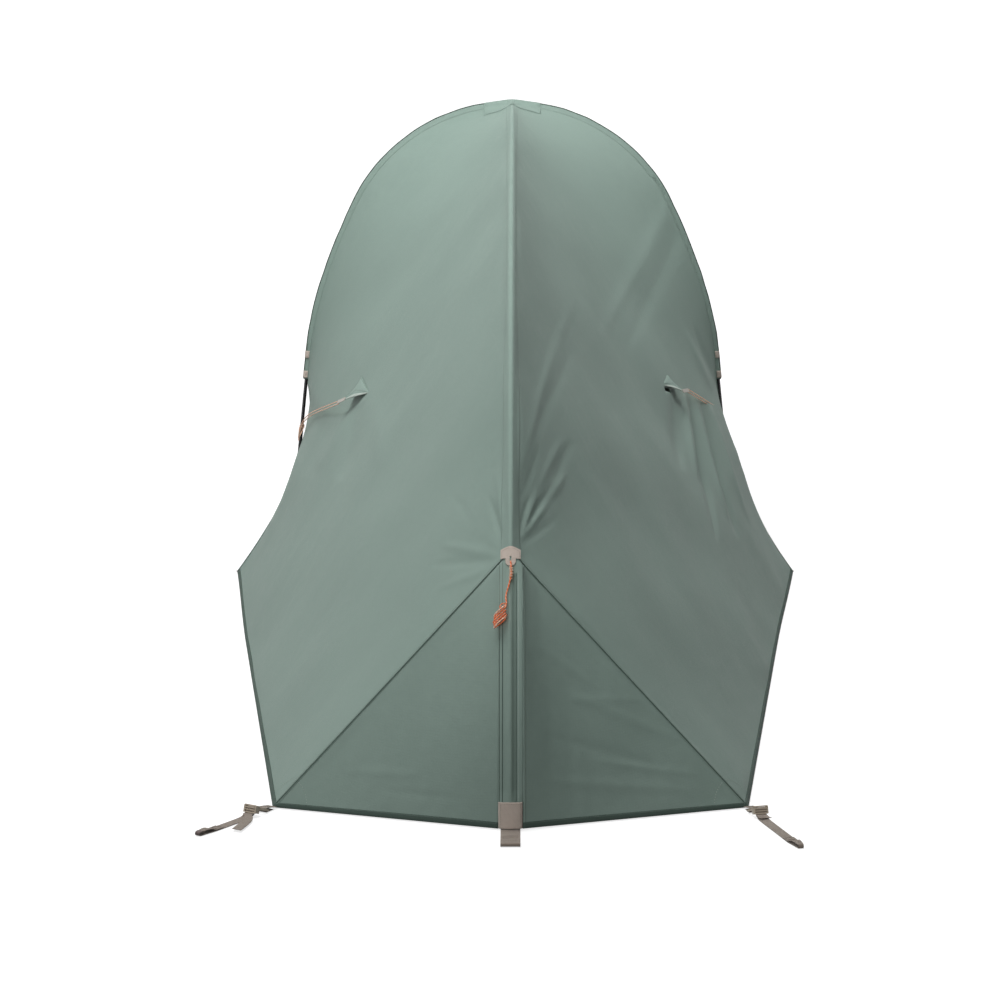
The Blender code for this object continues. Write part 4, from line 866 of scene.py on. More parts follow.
def hank_points():
    """The hank's turns, the way of its strands, the step from turn to turn, its centre, and outwards."""
    middle, outward = on_ridge(HANK_CENTRE[1])
    uphill = facing(np.cross(ACROSS, outward), 2)
    strand = ACROSS * math.sin(HANK_TILT) + uphill * math.cos(HANK_TILT)
    step = -uphill / math.sin(HANK_TILT)
    lift = BAND_HALF_DEPTH + HANK_DEPTH / 2 + CORD_R + 2 * FIT
    centre = middle + ACROSS * HANK_CENTRE[0] + outward * lift
    bend = HANK_DEPTH / 2 - CORD_R
    straight = HANK_LENGTH / 2 - bend - CORD_R
    draw = np.random.default_rng(11).uniform(-1, 1, 2 * HANK_LOOPS + 2)
    line = []
    for phase in np.arange(HANK_LOOPS * HANK_STEPS + 1) / HANK_STEPS:
        angle = 2 * math.pi * phase
        reach = straight * np.interp(phase, [0, 1.4, HANK_LOOPS - 1.0, HANK_LOOPS], [0.55, 1.0, 1.0, 0.7])
        reach += 0.0014 * draw[int(2 * phase + 0.5)]
        along = reach * np.clip(1.6 * math.cos(angle), -1, 1) + bend * math.cos(angle)
        aside = (phase - HANK_LOOPS / 2) * HANK_PITCH
        line.append(centre + strand * along + outward * bend * math.sin(angle) + step * aside)
    return smooth(line, HANK_STEPS * HANK_LOOPS + 1), strand, step, centre, outward


def make_guyline():
    """The guyline from the cap's slot to its hank, as one cord, with its knot and the hank's ties."""
    line, strand, step, centre, outward = hank_points()
    start, finish = (end + strand * 2 * CORD_R for end in (line[0], line[-1]))
    route = [band_surface(z, x, CORD_R + WEB + 4 * FIT) for x, z in GUY_ROUTE]
    lead = smooth([*route, start + strand * 4 * CORD_R, start + strand * FIT], 40)
    whole = np.concatenate([lead, line, [finish]])
    cord = tube("guyline_cord", whole, CORD_R, ORANGE)
    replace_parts(cord, "guyline", "guyline_hank")
    knot = wound("guyline_knot", at(lead, np.linspace(0.012, 0.038, 60)), 4.5, 0.0024, 0.0013, outward)
    down = unit(np.cross(outward, strand))
    ring = arc(start - strand * 0.0035 + outward * 0.0022, strand * 0.0066, down * 0.0048, 0, 360, 40)
    head = tube("guyline_loop", ring, 0.0010, ORANGE, sides=8, ends=False)
    for number, share in enumerate((-0.45, 0.45), 1):
        middle = centre + step * share * HANK_LOOPS * HANK_PITCH * 0.9
        ring = arc(middle, strand * 0.0150, outward * 0.0060, 0, 360, 36)
        tube(f"guyline_tie_{number}", ring, 0.0010, PALE_CORD, sides=8, ends=False)


def wound(name, line, turns, radius, thick, outward):
    """A pale cord wound round a line."""
    way = unit(line[-1] - line[0])
    across = unit(np.cross(way, outward)) * radius
    angles = np.linspace(0, 2 * math.pi * turns, len(line))[:, None]
    helix = line + np.cos(angles) * across + np.sin(angles) * np.cross(way, across)
    return tube(name, smooth(helix, 3 * len(line)), thick, PALE_CORD, sides=8)


make_camera()
bpy.context.scene.view_settings.view_transform = "Standard"
make_guyline()
make_stage()

# ---- the fly
SIDE_WAVES = ((0.40, 0.9, 0.5, 0.0022), (0.13, 1.0, 0.6, 0.00022), (0.05, 1.0, 0.8, 0.00008))
REAR_WAVES = ((0.22, 1.45, 0.3, 0.0010), (0.045, 1.5, 0.25, 0.00022))
FRONT_WAVES = ((0.30, 0.2, 0.4, 0.0020), (0.09, 0.3, 0.5, 0.0004))
FOLDS = {
    "side_left": (
        (504, 545, 489, 495, 3.0, -0.0024),
        (503, 552, 462, 505, 4.0, 0.0018),
        (500, 556, 440, 545, 4.5, 0.0020),
        (498, 560, 430, 566, 4.0, -0.0018),
        (502, 549, 448, 492, 4.0, -0.0016),
        (497, 566, 438, 590, 4.0, 0.0016),
        (505, 540, 496, 470, 2.5, 0.0018),
        (361, 402, 338, 480, 9.0, -0.0060),
        (350, 408, 318, 470, 7.0, 0.0040),
        (378, 398, 380, 470, 8.0, 0.0024),
    ),
    "side_right": (
        (520, 540, 538, 488, 2.2, 0.0034),
        (538, 488, 563, 436, 3.0, 0.0022),
        (520, 536, 530, 494, 1.8, -0.0026),
        (521, 539, 549, 500, 2.4, 0.0036),
        (549, 500, 567, 472, 3.0, 0.0026),
        (521, 536, 553, 482, 2.2, -0.0034),
        (553, 482, 572, 440, 4.0, -0.0020),
        (522, 545, 560, 516, 2.5, -0.0016),
        (522, 500, 540, 440, 3.0, -0.0016),
        (520, 470, 552, 350, 4.5, 0.0018),
        (528, 450, 575, 345, 5.0, -0.0016),
        (540, 400, 572, 300, 5.0, 0.0016),
        (600, 340, 700, 150, 8.0, 0.0026),
        (625, 350, 690, 210, 8.0, -0.0026),
        (684, 394, 697, 480, 3.2, 0.0085),
        (688, 392, 716, 540, 3.6, -0.0085),
        (694, 396, 727, 520, 3.0, 0.0085),
        (699, 398, 738, 540, 3.2, -0.0080),
        (706, 402, 748, 520, 2.8, 0.0070),
        (673, 392, 682, 470, 6.0, -0.0064),
        (686, 330, 712, 392, 3.0, 0.0036),
        (694, 325, 717, 388, 3.0, -0.0032),
    ),
    "rear_left": ((340, 770, 420, 775, 5.0, 0.0008), (380, 790, 470, 800, 4.0, -0.0006)),
    "rear_right": (
        (560, 690, 680, 740, 6.0, 0.0010),
        (545, 735, 670, 770, 6.0, -0.0010),
        (540, 780, 690, 790, 6.0, 0.0012),
        (560, 700, 650, 700, 5.0, 0.0008),
        (530, 640, 600, 690, 5.0, 0.0008),
        (590, 760, 700, 775, 4.0, 0.0010),
    ),
}
SIDE_ROWS = np.linspace(0, 1, 241) ** 1.15
SIDE_COLUMNS = np.linspace(0, 1, 145)
SIDE_BASE = stretched(side_edges, 120, 72)
REAR_BASE = sample(stretched(rear_edges, 40, 48), np.linspace(0, 1, 101), np.linspace(0, 1, 121))
GORE_BASE = sample(stretched(gore_edges, 40, 48), np.linspace(0, 1, 81), np.linspace(0, 1, 97))
PANELS = {}
PATCH_FRONT = 0.045
PATCH_BACK = 0.052
PATCH_HALF_WIDTH = 0.067
PATCH_FADE = 0.014
PATCH_PASSES = 26


def declare(piece, node, grid, long=None):
    """Hides the solid that a piece of cloth replaces; the length and width of its cut are worked out but not
    used.
    """
    first, _, low, _ = distances(grid)
    long, wide = long or float(first[-1].max()), float(low[:, -1].max())
    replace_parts(piece, node)


def make_panels():
    """Side panels, rear triangles, front gores and the door, each a fine stretched sheet."""
    side_base = sample(SIDE_BASE, SIDE_ROWS, SIDE_COLUMNS)
    for label, side in SIDES.items():
        grids = {
            "side": folded(swayed(mirrored(side_base, side), side), FOLDS["side_" + label], SIDE_WAVES, side),
            "rear": folded(mirrored(REAR_BASE, side), FOLDS["rear_" + label], REAR_WAVES, side),
            "front": folded(mirrored(GORE_BASE, side), (), FRONT_WAVES, side),
        }
        for kind, grid in grids.items():
            PANELS[kind, label] = grid
            piece = cloth(f"{kind}_panel_{label}", grid, SAGE)
            if kind == "side":
                cut_slit(piece, side)
            declare(piece, f"fly_{kind}_{label}", grid)
    door = folded(stretched(door_edges, 40, 80), (), FRONT_WAVES, 1)
    PANELS["door"] = door
    depths = door[:, :, 1].mean(axis=0)
    start = np.interp(ARCH_Y + PATCH_FRONT - 0.001, depths, np.linspace(0, 1, len(depths)))
    shown = sample(door, np.linspace(0, 1, 40), np.linspace(start, 1, 80))
    declare(cloth("door_panel", shown, SAGE, body="door"), "fly_door", shown)


def panel_point(along, down):
    """A point of the right side panel and its outward normal, at shares of its length and depth."""
    near = sample(SIDE_BASE, *(np.array([share - 0.004, share, share + 0.004]) for share in (along, down)))
    return near[1, 1], normals(near)[1, 1]


def wrap_centre():
    """Where the vent cord goes round the right leg of the arch pole."""
    return at(ARCH, [arch_distance(VENT_CORD_Z)])[0]


def vent_frame(side):
    """The vent's place on the side panel: towards the arch pole, up the panel, and outwards."""
    spot, normal = panel_point(VENT_ALONG, VENT_DOWN)
    towards = wrap_centre() - spot
    towards = unit(towards - normal * (towards @ normal))
    up = facing(np.cross(normal, towards), 2)
    return tuple(mirrored(part, side) for part in (spot, towards, up, normal))


def place(frame, local):
    """A local point in the tent's own frame: frame is (origin, axis 1, axis 2, axis 3)."""
    origin, one, two, three = frame
    return origin + one * local[0] + two * local[1] + three * local[2]


def laid(frame, side_view):
    """Points of a side view, as distance and height, in a local frame."""
    return [place(frame, (s, 0.0, z)) for s, z in side_view]


def blocks(name, frame, parts):
    """A mesh of blocks, each between two local corners and narrower at its top by a taper."""
    shape = bmesh.new()
    for low, high, *taper in parts:
        made = bmesh.ops.create_cube(shape, size=1.0)["verts"]
        middle, size = np.add(low, high) / 2, np.subtract(high, low)
        for vert in made:
            local = middle + np.array(vert.co) * size
            if vert.co.z > 0 and taper:
                local[:2] += (middle - local)[:2] * taper[0]
            vert.co = place(frame, local)
        faces = [face for face in shape.faces if all(vert in made for vert in face.verts)]
        bmesh.ops.recalc_face_normals(shape, faces=faces)
    mesh = bpy.data.meshes.new(name)
    shape.to_mesh(mesh)
    shape.free()
    return mesh


def block_piece(name, frame, parts, surface, body, edge):
    """A piece of blocks with rounded edges."""
    piece = new_object(name, blocks(name, frame, parts), surface, body)
    bevel(piece, edge)
    return piece


SLIT_HALF = np.array([0.020, 0.005, 0.025])


def cut_slit(piece, side):
    """Cuts the vent's slit through a side panel."""
    spot, towards, up, normal = vent_frame(side)
    frame = (spot + up * 0.004, towards, up, normal)
    cutter = added("slit", blocks("slit", frame, [(-SLIT_HALF, SLIT_HALF)]))
    modify(piece, "Slit", "BOOLEAN", operation="DIFFERENCE", object=cutter)
    apply(piece)
    bpy.data.objects.remove(cutter)


def apply(piece):
    """Makes a piece's modifiers part of its mesh."""
    bpy.context.view_layer.update()
    graph = bpy.context.evaluated_depsgraph_get()
    made = bpy.data.meshes.new_from_object(piece.evaluated_get(graph))
    piece.modifiers.clear()
    piece.data = made


def blended(stations, seed, low=0.7, high=1.3):
    """Slow random changes along a seam, as factors round 1."""
    draw = np.random.default_rng(seed)
    knots = draw.uniform(low, high, stations // 5 + 3)
    return np.interp(np.arange(stations), 5 * np.arange(len(knots)), knots)


def make_ridge_band():
    """The ridge sleeve: cloth over the pole with a stitched flange on each side panel, wider lower down."""
    start, stop = ridge_distance(CAP_Z), lengths(RIDGE)[-1] - RIDGE_STOP
    spots = start + (stop - start) * SIDE_ROWS
    centres = at(RIDGE, spots)
    ways = at(RIDGE, np.minimum(spots + 0.01, lengths(RIDGE)[-1])) - at(RIDGE, np.maximum(spots - 0.01, 0))
    wide = np.interp(picture(centres)[1], [290, 375], [0.45, 1.0])
    loose = 0.0056 * blended(len(spots), 41, 0.97, 1.10)
    away, lift = np.array([0.0025, 0.006, 0.011, 0.0165, 0.0185]), [0.0013, 0.0009, 0.0008, 0.0008, 0.0005]
    rings, rows = [], [[], [], [], []]
    for k, (centre, way) in enumerate(zip(centres, ways)):
        near, pick = ([k - 1, k, k + 1], 1) if 0 < k < len(spots) - 1 else ([k, k], 0)
        flanges = (strip(PANELS["side", label][near], "low", away * wide[k], lift) for label in SIDES)
        left, right = (flange[pick] for flange in flanges)
        out = unit([0.0, -way[2], way[1]])
        rings.append([*right[::-1], *arc(centre, ACROSS * loose[k], out * loose[k], 28, 152, 9), *left])
        for row, point in zip(rows, ((left[1] + left[2]) / 2, left[3], (right[1] + right[2]) / 2, right[3])):
            row.append(point)
    band = cloth("ridge_band", rings, SAGE, THIN)
    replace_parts(band, "ridge_sleeve")
    # painted shade: the inside of the sleeve round the pole is a darker copy of the fly cloth
    tube("ridge_sleeve_shade", centres[::4], 0.0049, SAGE_DARK, ends=False)
    stitches("ridge_stitches", rows, THREAD, pitch=SLEEVE_PITCH)


def arch_stations():
    """Distances along the arch for its sleeve, with the shares of the side panel's and gore's outer edges."""
    spots = np.linspace(ARCH_BAND_START, ARCH_END, 150)
    edge = SLEEVE_R + FIT
    shares = []
    for offset, start, free in ((-edge, edge, wing_edge()), (edge, DOOR_START, gore_edge())):
        arch_part, free_part = lengths(arch_line(offset, start))[-1], lengths(free)[-1]
        shares.append((spots - start) / (ARCH_END - start) * arch_part / (arch_part + free_part))
    return spots, *shares


def beside_arch(kind, label, shares):
    """The part of a side panel or gore near the arch, at shares of its outer edge."""
    low, count = (0.5, 121) if kind == "side" else (0.0, 81)
    return sample(PANELS[kind, label], np.linspace(low, 1, count), shares)


def make_arch_bands():
    """The arch sleeves: cloth over the pole, a flange on the side panel and one on the front gore."""
    spots, side_shares, gore_shares = arch_stations()
    away = np.array([0.0022, 0.0038, 0.0054, 0.0072, 0.0084])
    lift = np.array([0.0018, 0.0012, 0.0010, 0.0009, 0.0005])
    centres = at(ARCH, spots)
    centres[:, 0] -= 0.002 * np.linspace(0, 1, len(spots)) ** 6
    ways = at(ARCH, spots + 0.008) - at(ARCH, spots - 0.008)
    for label, side in SIDES.items():
        panel, middles = beside_arch("side", label, side_shares), mirrored(centres, side)
        rear = strip(panel, "last", away, lift)
        front = strip(beside_arch("front", label, gore_shares), "last", away[:4], lift[:4])
        loose = 0.0078 * blended(len(spots), 43 + side, 0.97, 1.12)
        rings = []
        for k, (centre, way) in enumerate(zip(middles, ways)):
            out = mirrored(unit([-way[2], 0.0, way[0]]), side) * loose[k]
            rings.append([*rear[k][::-1], *arc(centre, -ALONG * loose[k], out, 25, 155, 9), *front[k]])
        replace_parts(cloth(f"arch_band_{label}", rings, SAGE, THIN), f"arch_sleeve_{label}")
        crest = np.array([ring[len(away) + 3] for ring in rings])
        tube(f"arch_piping_{label}", crest + (crest - middles) * 0.10, 0.0013, HEM, sides=8)
        line = mirrored(at(ARCH, np.linspace(0.019, ARCH_END + 0.002, 90)), side)
        # painted shade: the inside of the sleeve round the pole is a darker copy of the fly cloth, darkening
        # the crease beside the sleeve
        sleeve_shade = tube(f"arch_sleeve_shade_{label}", line, 0.0069, SAGE_DARK, ends=False)
        modify(sleeve_shade, "Thickness", "SOLIDIFY", thickness=0.0004, offset=-1.0)
        row = strip(panel, "last", [0.0058], 0.00135)[:, 0]
        stitches(f"arch_stitches_{label}", [row], THREAD, pitch=SLEEVE_PITCH)


def make_seams():
    """The felled diagonal seams from the cap to the rear corners, each with its dark joining line."""
    start = SEAM_SKIP / SEAM_CELLS
    share = np.linspace(0, 1, 145)
    wide = np.interp(share, [0, 0.35, 1], [0.55, 0.75, 1.0])
    for label, side in SIDES.items():
        panel, rear = PANELS["side", label], PANELS["rear", label]
        loose = (blended(len(share), 51 + side, 0.9, 1.15) * wide)[:, None, None]
        upper = strip(panel, "first", [0.0062, 0.0050, 0.0010], [0.0005, 0.0010, 0.0012])
        beside = sample(rear, np.linspace(0, 1, 101), np.clip((share - start) / (1 - start), 0, 1))
        lower = strip(beside, "last", [0.0006, 0.0020, 0.0026], [0.0012, 0.0009, 0.0004])
        keep = share > start * 0.6
        rings = np.concatenate([upper, lower], axis=1)
        middle = rings[:, 2:3]
        rings = middle + (rings - middle) * loose
        cloth(f"diagonal_seam_{label}", rings[keep], SAGE, THIN)
        line = np.concatenate([upper[:, 2:3], lower[:, :1], lower[:, 1:2]], axis=1)
        middle = line.mean(axis=1, keepdims=True)
        line = middle + (line - middle) * (0.62 * loose)
        out = normals(panel)[0][:, None]
        cloth(f"seam_line_{label}", (line + out * 0.0007)[keep], HEM, THIN)
        stitches(f"seam_stitches_{label}", [strip(panel, "first", [0.0040], 0.0016)[keep][:, 0]], THREAD)
        arcs = [corner_arc(panel), corner_arc(rear[::-1])]
        stitches(f"corner_stitches_{label}", arcs, PALE_THREAD, pitch=0.0052, length=0.0026, radius=0.00034)


CORNER_ARC = 0.066


def corner_arc(grid):
    """A curve across a panel at one distance from its corner, at the hem end of its first line."""
    made = []
    for line, out in zip(grid, normals(grid)):
        apart = np.linalg.norm(line - grid[0, -1], axis=1)
        if apart[-1] > CORNER_ARC:
            break
        spot = np.interp(-CORNER_ARC, -apart, np.arange(len(apart)))
        low = min(int(spot), len(apart) - 2)
        made.append(line[low] + (line[low + 1] - line[low]) * (spot - low) + out[low] * 0.0007)
    return np.array(made)


def hem(name, grid, edge, surface, body="tent", wide=0.011):
    """A folded hem round one edge of a panel."""
    outer = strip(grid, edge, [wide, wide - 0.0008, wide / 2, 0.0004], [0.0006, 0.0012, 0.0013, 0.0011])
    inner = strip(grid, edge, [0.0004, wide / 2, wide], [-0.0011, -0.0012, -0.0010])
    edge_line = strip(grid, edge, [0.0], 0.0)
    past = edge_line + (edge_line - (outer[:, 3:] + inner[:, :1]) / 2) * 1.6
    rings = np.concatenate([outer, past, inner], axis=1)
    cloth(name, rings, surface, 0.0004, body=body)
    return strip(grid, edge, [wide - 0.0022], 0.0019)[:, 0]


def make_hems():
    """Folded hems along the ground and along the free edges beside the arch pole."""
    rows = []
    _, side_shares, gore_shares = arch_stations()
    for label in SIDES:
        for kind in ("side", "rear", "front"):
            rows.append(hem(f"{kind}_hem_{label}", PANELS[kind, label], "high", HEM))
        for name, kind, above in (("wing", "side", side_shares), ("gore", "front", gore_shares)):
            free = beside_arch(kind, label, np.linspace(above[-1] + 0.004, 1, 60))
            rows.append(hem(f"{name}_hem_{label}", free, "last", HEM, wide=0.009))
    door_row = hem("door_hem", PANELS["door"][1:], "high", HEM, body="door")
    for body, lines in (("tent", rows), ("door", [door_row])):
        stitches(f"hem_stitches_{body}", lines, THREAD, body=body)


def band_depth(z, x, half):
    """How far the rear band's face stands off the pole's axis, at a height and a distance from its middle."""
    oval = oval_depth(x, half)
    over_pole = 0.0016 + 0.0046 * math.exp(-(((x + 0.0010) / 0.0056) ** 2))
    over_pole *= math.sqrt(1 - min(abs(x) / half, 0.999) ** 8)
    low = float(np.clip((CAP_Z - 0.012 - z) / 0.03, 0, 1) * np.clip((z - 0.052) / 0.02, 0, 1))
    return oval + (over_pole - oval) * low


BAND_ROWS = (-0.0205, -0.0147, 0.0146)


def make_rear_band():
    """The flat sleeve below the cap, with the pole's bulge down its middle, rows of stitches, and a darker
    strip of painted shade on the bulge's right side.
    """
    heights = np.linspace(BAND_START_Z, CAP_Z - 0.0015, 110)
    rings, tape, rows = [], [], [[], [], []]
    sway = blended(len(heights), 61, -0.0005, 0.0005)
    for z, aside in zip(heights, sway):
        half = min(BAND_HALF_WIDTH, 0.0056 + 0.94 * (CAP_Z - z))
        centre, out = on_ridge(z)
        xs = half * np.sin(np.radians(np.linspace(-90, 90, 29)))
        front = [ACROSS * x + out * (band_depth(z, x - 2 * aside, half) + 0.3 * aside) for x in xs]
        depth = 0.7 * BAND_HALF_DEPTH
        back = [ACROSS * x - out * depth * math.sqrt(1 - (x / half) ** 2) for x in xs[-2:0:-4]]
        rings.append(centre + (front + back))
        for x, line in zip(BAND_ROWS, rows):
            if abs(x) < half - 0.001:
                line.append(centre + ACROSS * x + out * (band_depth(z, x, half) + 0.0003))
        # painted shade: a darker strip on the right side of the pole's bulge
        if z < CAP_Z - 0.030:
            spots = np.linspace(0.0014, 0.0112, 6)
            tape.append([centre + ACROSS * x + out * (band_depth(z, x, half) + 0.0012) for x in spots])
    band = cloth("rear_band", rings, SAGE, THIN, closed=True, offset=-1.0)
    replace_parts(band, "rear_sleeve")
    *dark, light = (np.array(line) for line in rows)
    stitches("band_stitches", dark, THREAD, pitch=0.0040, length=0.0027, radius=0.00055)
    for number, line in enumerate(dark, 1):
        thick = np.interp(line[:, 2], [0.33, 0.37], [0.00075, 0.00030])
        tube(f"band_cord_{number}", line - ALONG * 0.0002, thick, HEM, sides=8)
    stitches("band_light_stitches", [light], PALE_THREAD, pitch=0.0044, length=0.0024, radius=0.0005)
    # the darker strip is painted shade, not a separate tape
    cloth("band_shade_strip", tape, BAND_SHADE, THIN)
    edge = strip(PANELS["rear", "right"], "first", [0.0055], 0.0006)[:, 0]
    tube("band_edge", edge[8:-2], 0.0005, THREAD, sides=6)


def make_crown_patch():
    """The reinforcing cloth over the crown, draped over hub, poles and panels."""
    points, faces = [], []
    for key in (("side", "left"), ("side", "right"), ("front", "left"), ("front", "right"), "door"):
        grid = PANELS[key]
        index = np.arange(grid[..., 0].size).reshape(grid.shape[:2]) + len(points)
        points += grid.reshape(-1, 3).tolist()
        faces += quads(index).reshape(-1, 4).tolist()
    below = BVHTree.FromPolygons(points, faces)
    xs = np.linspace(-PATCH_HALF_WIDTH, PATCH_HALF_WIDTH, 57)
    ys = ARCH_Y + np.linspace(-PATCH_BACK, PATCH_FRONT, 41)
    height = np.zeros((len(xs), len(ys)))
    for i, x in enumerate(xs):
        for j, y in enumerate(ys):
            hit = below.ray_cast(Vector((x, y, 2.0)), Vector((0, 0, -1)))[0]
            base = hit.z + 0.0008 if hit else 0.0
            drop = CROWN_R - math.sqrt(CROWN_R**2 - x**2)
            narrow = float(np.interp(ARCH_Y - y, [0.0, 0.020, 0.050], [0.0078, 0.0076, 0.0061]))
            for number, radius, gap in ((0, 0.0095, y - ARCH_Y), (1, narrow if y < ARCH_Y else 0.0, x)):
                if abs(gap) < radius:
                    over = CROWN_Z - (0 if number else drop) + math.sqrt(radius**2 - gap**2)
                    base = max(base, over)
            height[i, j] = base
    floor = height.copy()
    height[floor < 0.5] = height[floor > 0.5].mean()
    for _ in range(PATCH_PASSES):
        around = height.copy()
        around[1:-1, 1:-1] = (height[2:, 1:-1] + height[:-2, 1:-1] + height[1:-1, 2:] + height[1:-1, :-2]) / 4
        height = np.maximum(floor, around)
    border = np.minimum(PATCH_HALF_WIDTH - np.abs(xs)[:, None], np.minimum(ys - ys[0], ys[-1] - ys))
    known = np.where(floor > 0.5, floor, height)
    height = known + (height - known) * fade(border, PATCH_FADE)
    across, along = np.meshgrid(xs, ys, indexing="ij")
    height += 0.0006 + 0.0032 * np.exp(-((across / 0.030) ** 2) - ((along - ARCH_Y) / 0.016) ** 2)
    grid = np.stack([across, along, height], axis=2)
    patch = cloth("crown_cloth", grid, SAGE, 0.0004)
    declare(patch, "crown_patch", grid)
    rows = [grid[2:-2, 2], grid[2:-2, -3], grid[2, 2:-2], grid[-3, 2:-2]]
    stitches("crown_stitches", [row + [0, 0, 0.0004] for row in rows], SAGE, radius=0.0002)


def ribbon(name, line, across, wide, surface, thickness=WEB, body="tent", cells=6):
    """A strip of webbing along a line, with its width along one direction and softly rounded edges."""
    across = unit(across)
    shares = np.sin(np.radians(np.linspace(-90, 90, cells + 1))) / 2
    line = np.asarray(line, float)
    wide = np.broadcast_to(wide, (len(line),))[:, None, None]
    grid = line[:, None] + across * wide * shares[None, :, None]
    piece = cloth(name, grid, surface, thickness, body=body)
    bevel(piece, 0.3 * thickness)
    return piece


def make_sleeve_tabs():
    """The two webbing tabs round the outer side of each arch sleeve's end."""
    for label, side in SIDES.items():
        for name, z in zip(("upper", "lower"), TAB_HEIGHTS):
            middle = arch_distance(z)
            line = at(ARCH, np.linspace(middle - 0.0085, middle + 0.0085, 7))
            grid = [arc(c - ACROSS * 0.001, ACROSS * 0.0092, ALONG * 0.0092, -105, 80, 17) for c in line]
            piece = cloth(f"sleeve_tab_{label}_{name}_tape", mirrored(grid, side), TAUPE_CLOTH, WEB)
            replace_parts(piece, f"sleeve_tab_{label}_{name}")


def make_cap():
    """The shield over the seam crossing: a peaked top, square shoulders, a slotted tongue."""
    top = CAP_Z + 0.0085
    step, low = top - 0.0185, top - 0.0300
    ledge, slot_top = low + 0.0040, low + 0.0145
    heights = [top, top - 0.001, top - 0.0025, top - 0.0038, top - 0.005, top - 0.0056]
    heights += list(np.linspace(top - 0.008, slot_top + 0.0004, 6))
    heights += [slot_top, *np.linspace(slot_top - 0.0005, step + 0.0004, 3), step, step - FIT]
    heights += [*np.linspace(step - 0.001, ledge + 0.0002, 8), ledge, *np.linspace(ledge - 0.0004, low, 8)]
    grid, left_out = [], []
    for k, z in enumerate(heights):
        if z > top - 0.005:
            half = 0.0014 + 0.0164 * ((top - z) / 0.005) ** 0.8
        elif z > step - FIT / 2:
            half = 0.0185
        else:
            half = 0.0095 * math.sqrt(max(0.02, 1 - max(0.0, (ledge + 0.002 - z) / 0.0064) ** 2))
        edge = 0.0016 if z > ledge + 0.001 else 0.0016 * min(1.0, half / 0.004)
        columns = [-half, -0.94 * half, -0.7 * half, -0.4 * half - 0.3 * edge, -edge]
        columns += [-x for x in columns[::-1]]
        lift = WEB / 2 + 2 * FIT
        grid.append([band_surface(z, x, lift) for x in columns])
        if k and slot_top >= heights[k - 1] and z >= ledge - 1e-9:
            left_out.append((k - 1, 4))
    piece = cloth("cap_shield", grid, TAUPE_CLOTH, WEB, left_out=left_out)
    bevel(piece, 0.0004)
    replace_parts(piece, "rear_cap")
    lift = WEB + 2 * FIT + 0.0003
    rows = []
    route = [(0.0012, top - 0.0022), (0.0150, top - 0.0068), (0.0165, top - 0.0085)]
    route += [(0.0165, step + 0.0022), (0.0112, step + 0.0018)]
    for side in SIDES.values():
        rows.append(np.array([band_surface(z, side * x, lift) for x, z in even(route, 40)]))
    stitches("cap_stitches", rows, TAUPE_THREAD)


POCKET_HALF = 0.0219
POCKET_LOW, POCKET_TOP = 0.0030, 0.0515
POCKET_BOX = ((-0.0178, 0.008), (-0.0178, 0.0485), (0.0178, 0.0485), (0.0178, 0.008))


def make_pocket():
    """The pocket over the ridge pole's foot, with its box of stitches."""
    xs = np.linspace(-POCKET_HALF, POCKET_HALF, 21)
    heights = np.linspace(POCKET_LOW, POCKET_TOP, 19)
    lift = WEB / 2 + 2 * FIT
    ripple = [[0.0004 * math.sin(450 * x + 300 * z) for x in xs] for z in heights]
    grid = [[band_surface(z, x, lift + up) for x, up in zip(xs, ups)] for z, ups in zip(heights, ripple)]
    piece = cloth("foot_pocket", grid, TAUPE_CLOTH, WEB)
    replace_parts(piece, "rear_pocket")
    lift = WEB + 2 * FIT + 0.0004
    row = np.array([band_surface(z, x, lift) for x, z in even(POCKET_BOX, 90)])
    stitches("pocket_stitches", [row], TAUPE_THREAD)


# ---- straps and buckles
def peg_loop(reach, start=0.0):
    """A strap's side view, as distance out and height: flat on the ground, folded back into a peg loop."""
    low = FIT + WEB / 2
    radius = (0.0050 + WEB) / 2
    hub = reach - radius - WEB / 2
    lap = low + WEB + FIT
    line = [(start, low), ((start + hub) / 2, low), (hub - 0.004, low)]
    line += [*arc((hub, low + radius), (radius, 0), (0, radius), -90, 90, 13)]
    line += [(reach - 0.026, low + 2 * radius + 0.0004), (reach - 0.034, low + 1.7 * radius)]
    line += [(reach - 0.044, lap + 0.0004), (reach - 0.048, lap), (reach - 0.066, lap)]
    return line


def bar_tacks(name, frame, centres, wide, body="tent"):
    """Dense rows of stitches across a strap, at distances along it."""
    rows = []
    for centre, height in centres:
        for step in (-0.0011, 0.0011):
            ends = [place(frame, (centre + step, share * wide / 2, height)) for share in (-0.85, 0.85)]
            rows.append(np.array(ends))
    stitches(name, rows, TAUPE_THREAD, pitch=0.0016, length=0.0013, radius=0.0003, body=body)


TACK_Z = 0.0038


def strap_frame(origin, out, side=1):
    """The local frame of a strap on the ground: out along it, across it, and up."""
    across = np.array([-out[1], out[0], 0.0])
    return tuple(mirrored(part, side) for part in (origin, out, across, UP))


def lap_tacks(reach):
    """Where the two rows of bar tacks hold the folded end of a strap."""
    return (reach - 0.062, TACK_Z), (reach - 0.050, TACK_Z)


def ground_strap(stem, end, node, frame, reach, count, wide, cells=8):
    """A strap of webbing on the ground, folded back into a peg loop, with its bar tacks."""
    line = smooth(laid(frame, peg_loop(reach)), count)
    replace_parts(ribbon(stem + end, line, frame[2], wide, TAUPE, cells=cells), node)
    bar_tacks(f"{stem}_stitches{end}", frame, lap_tacks(reach), wide)


def make_centre_strap():
    """The wide strap under the ridge pole's foot, folded back into a peg loop."""
    frame = (ALONG * (RIDGE[0, 1] + 0.022), -ALONG, ACROSS, UP)
    ground_strap("centre_strap", "", "rear_strap", frame, 0.141, 90, CENTRE_WEB_WIDTH, cells=10)


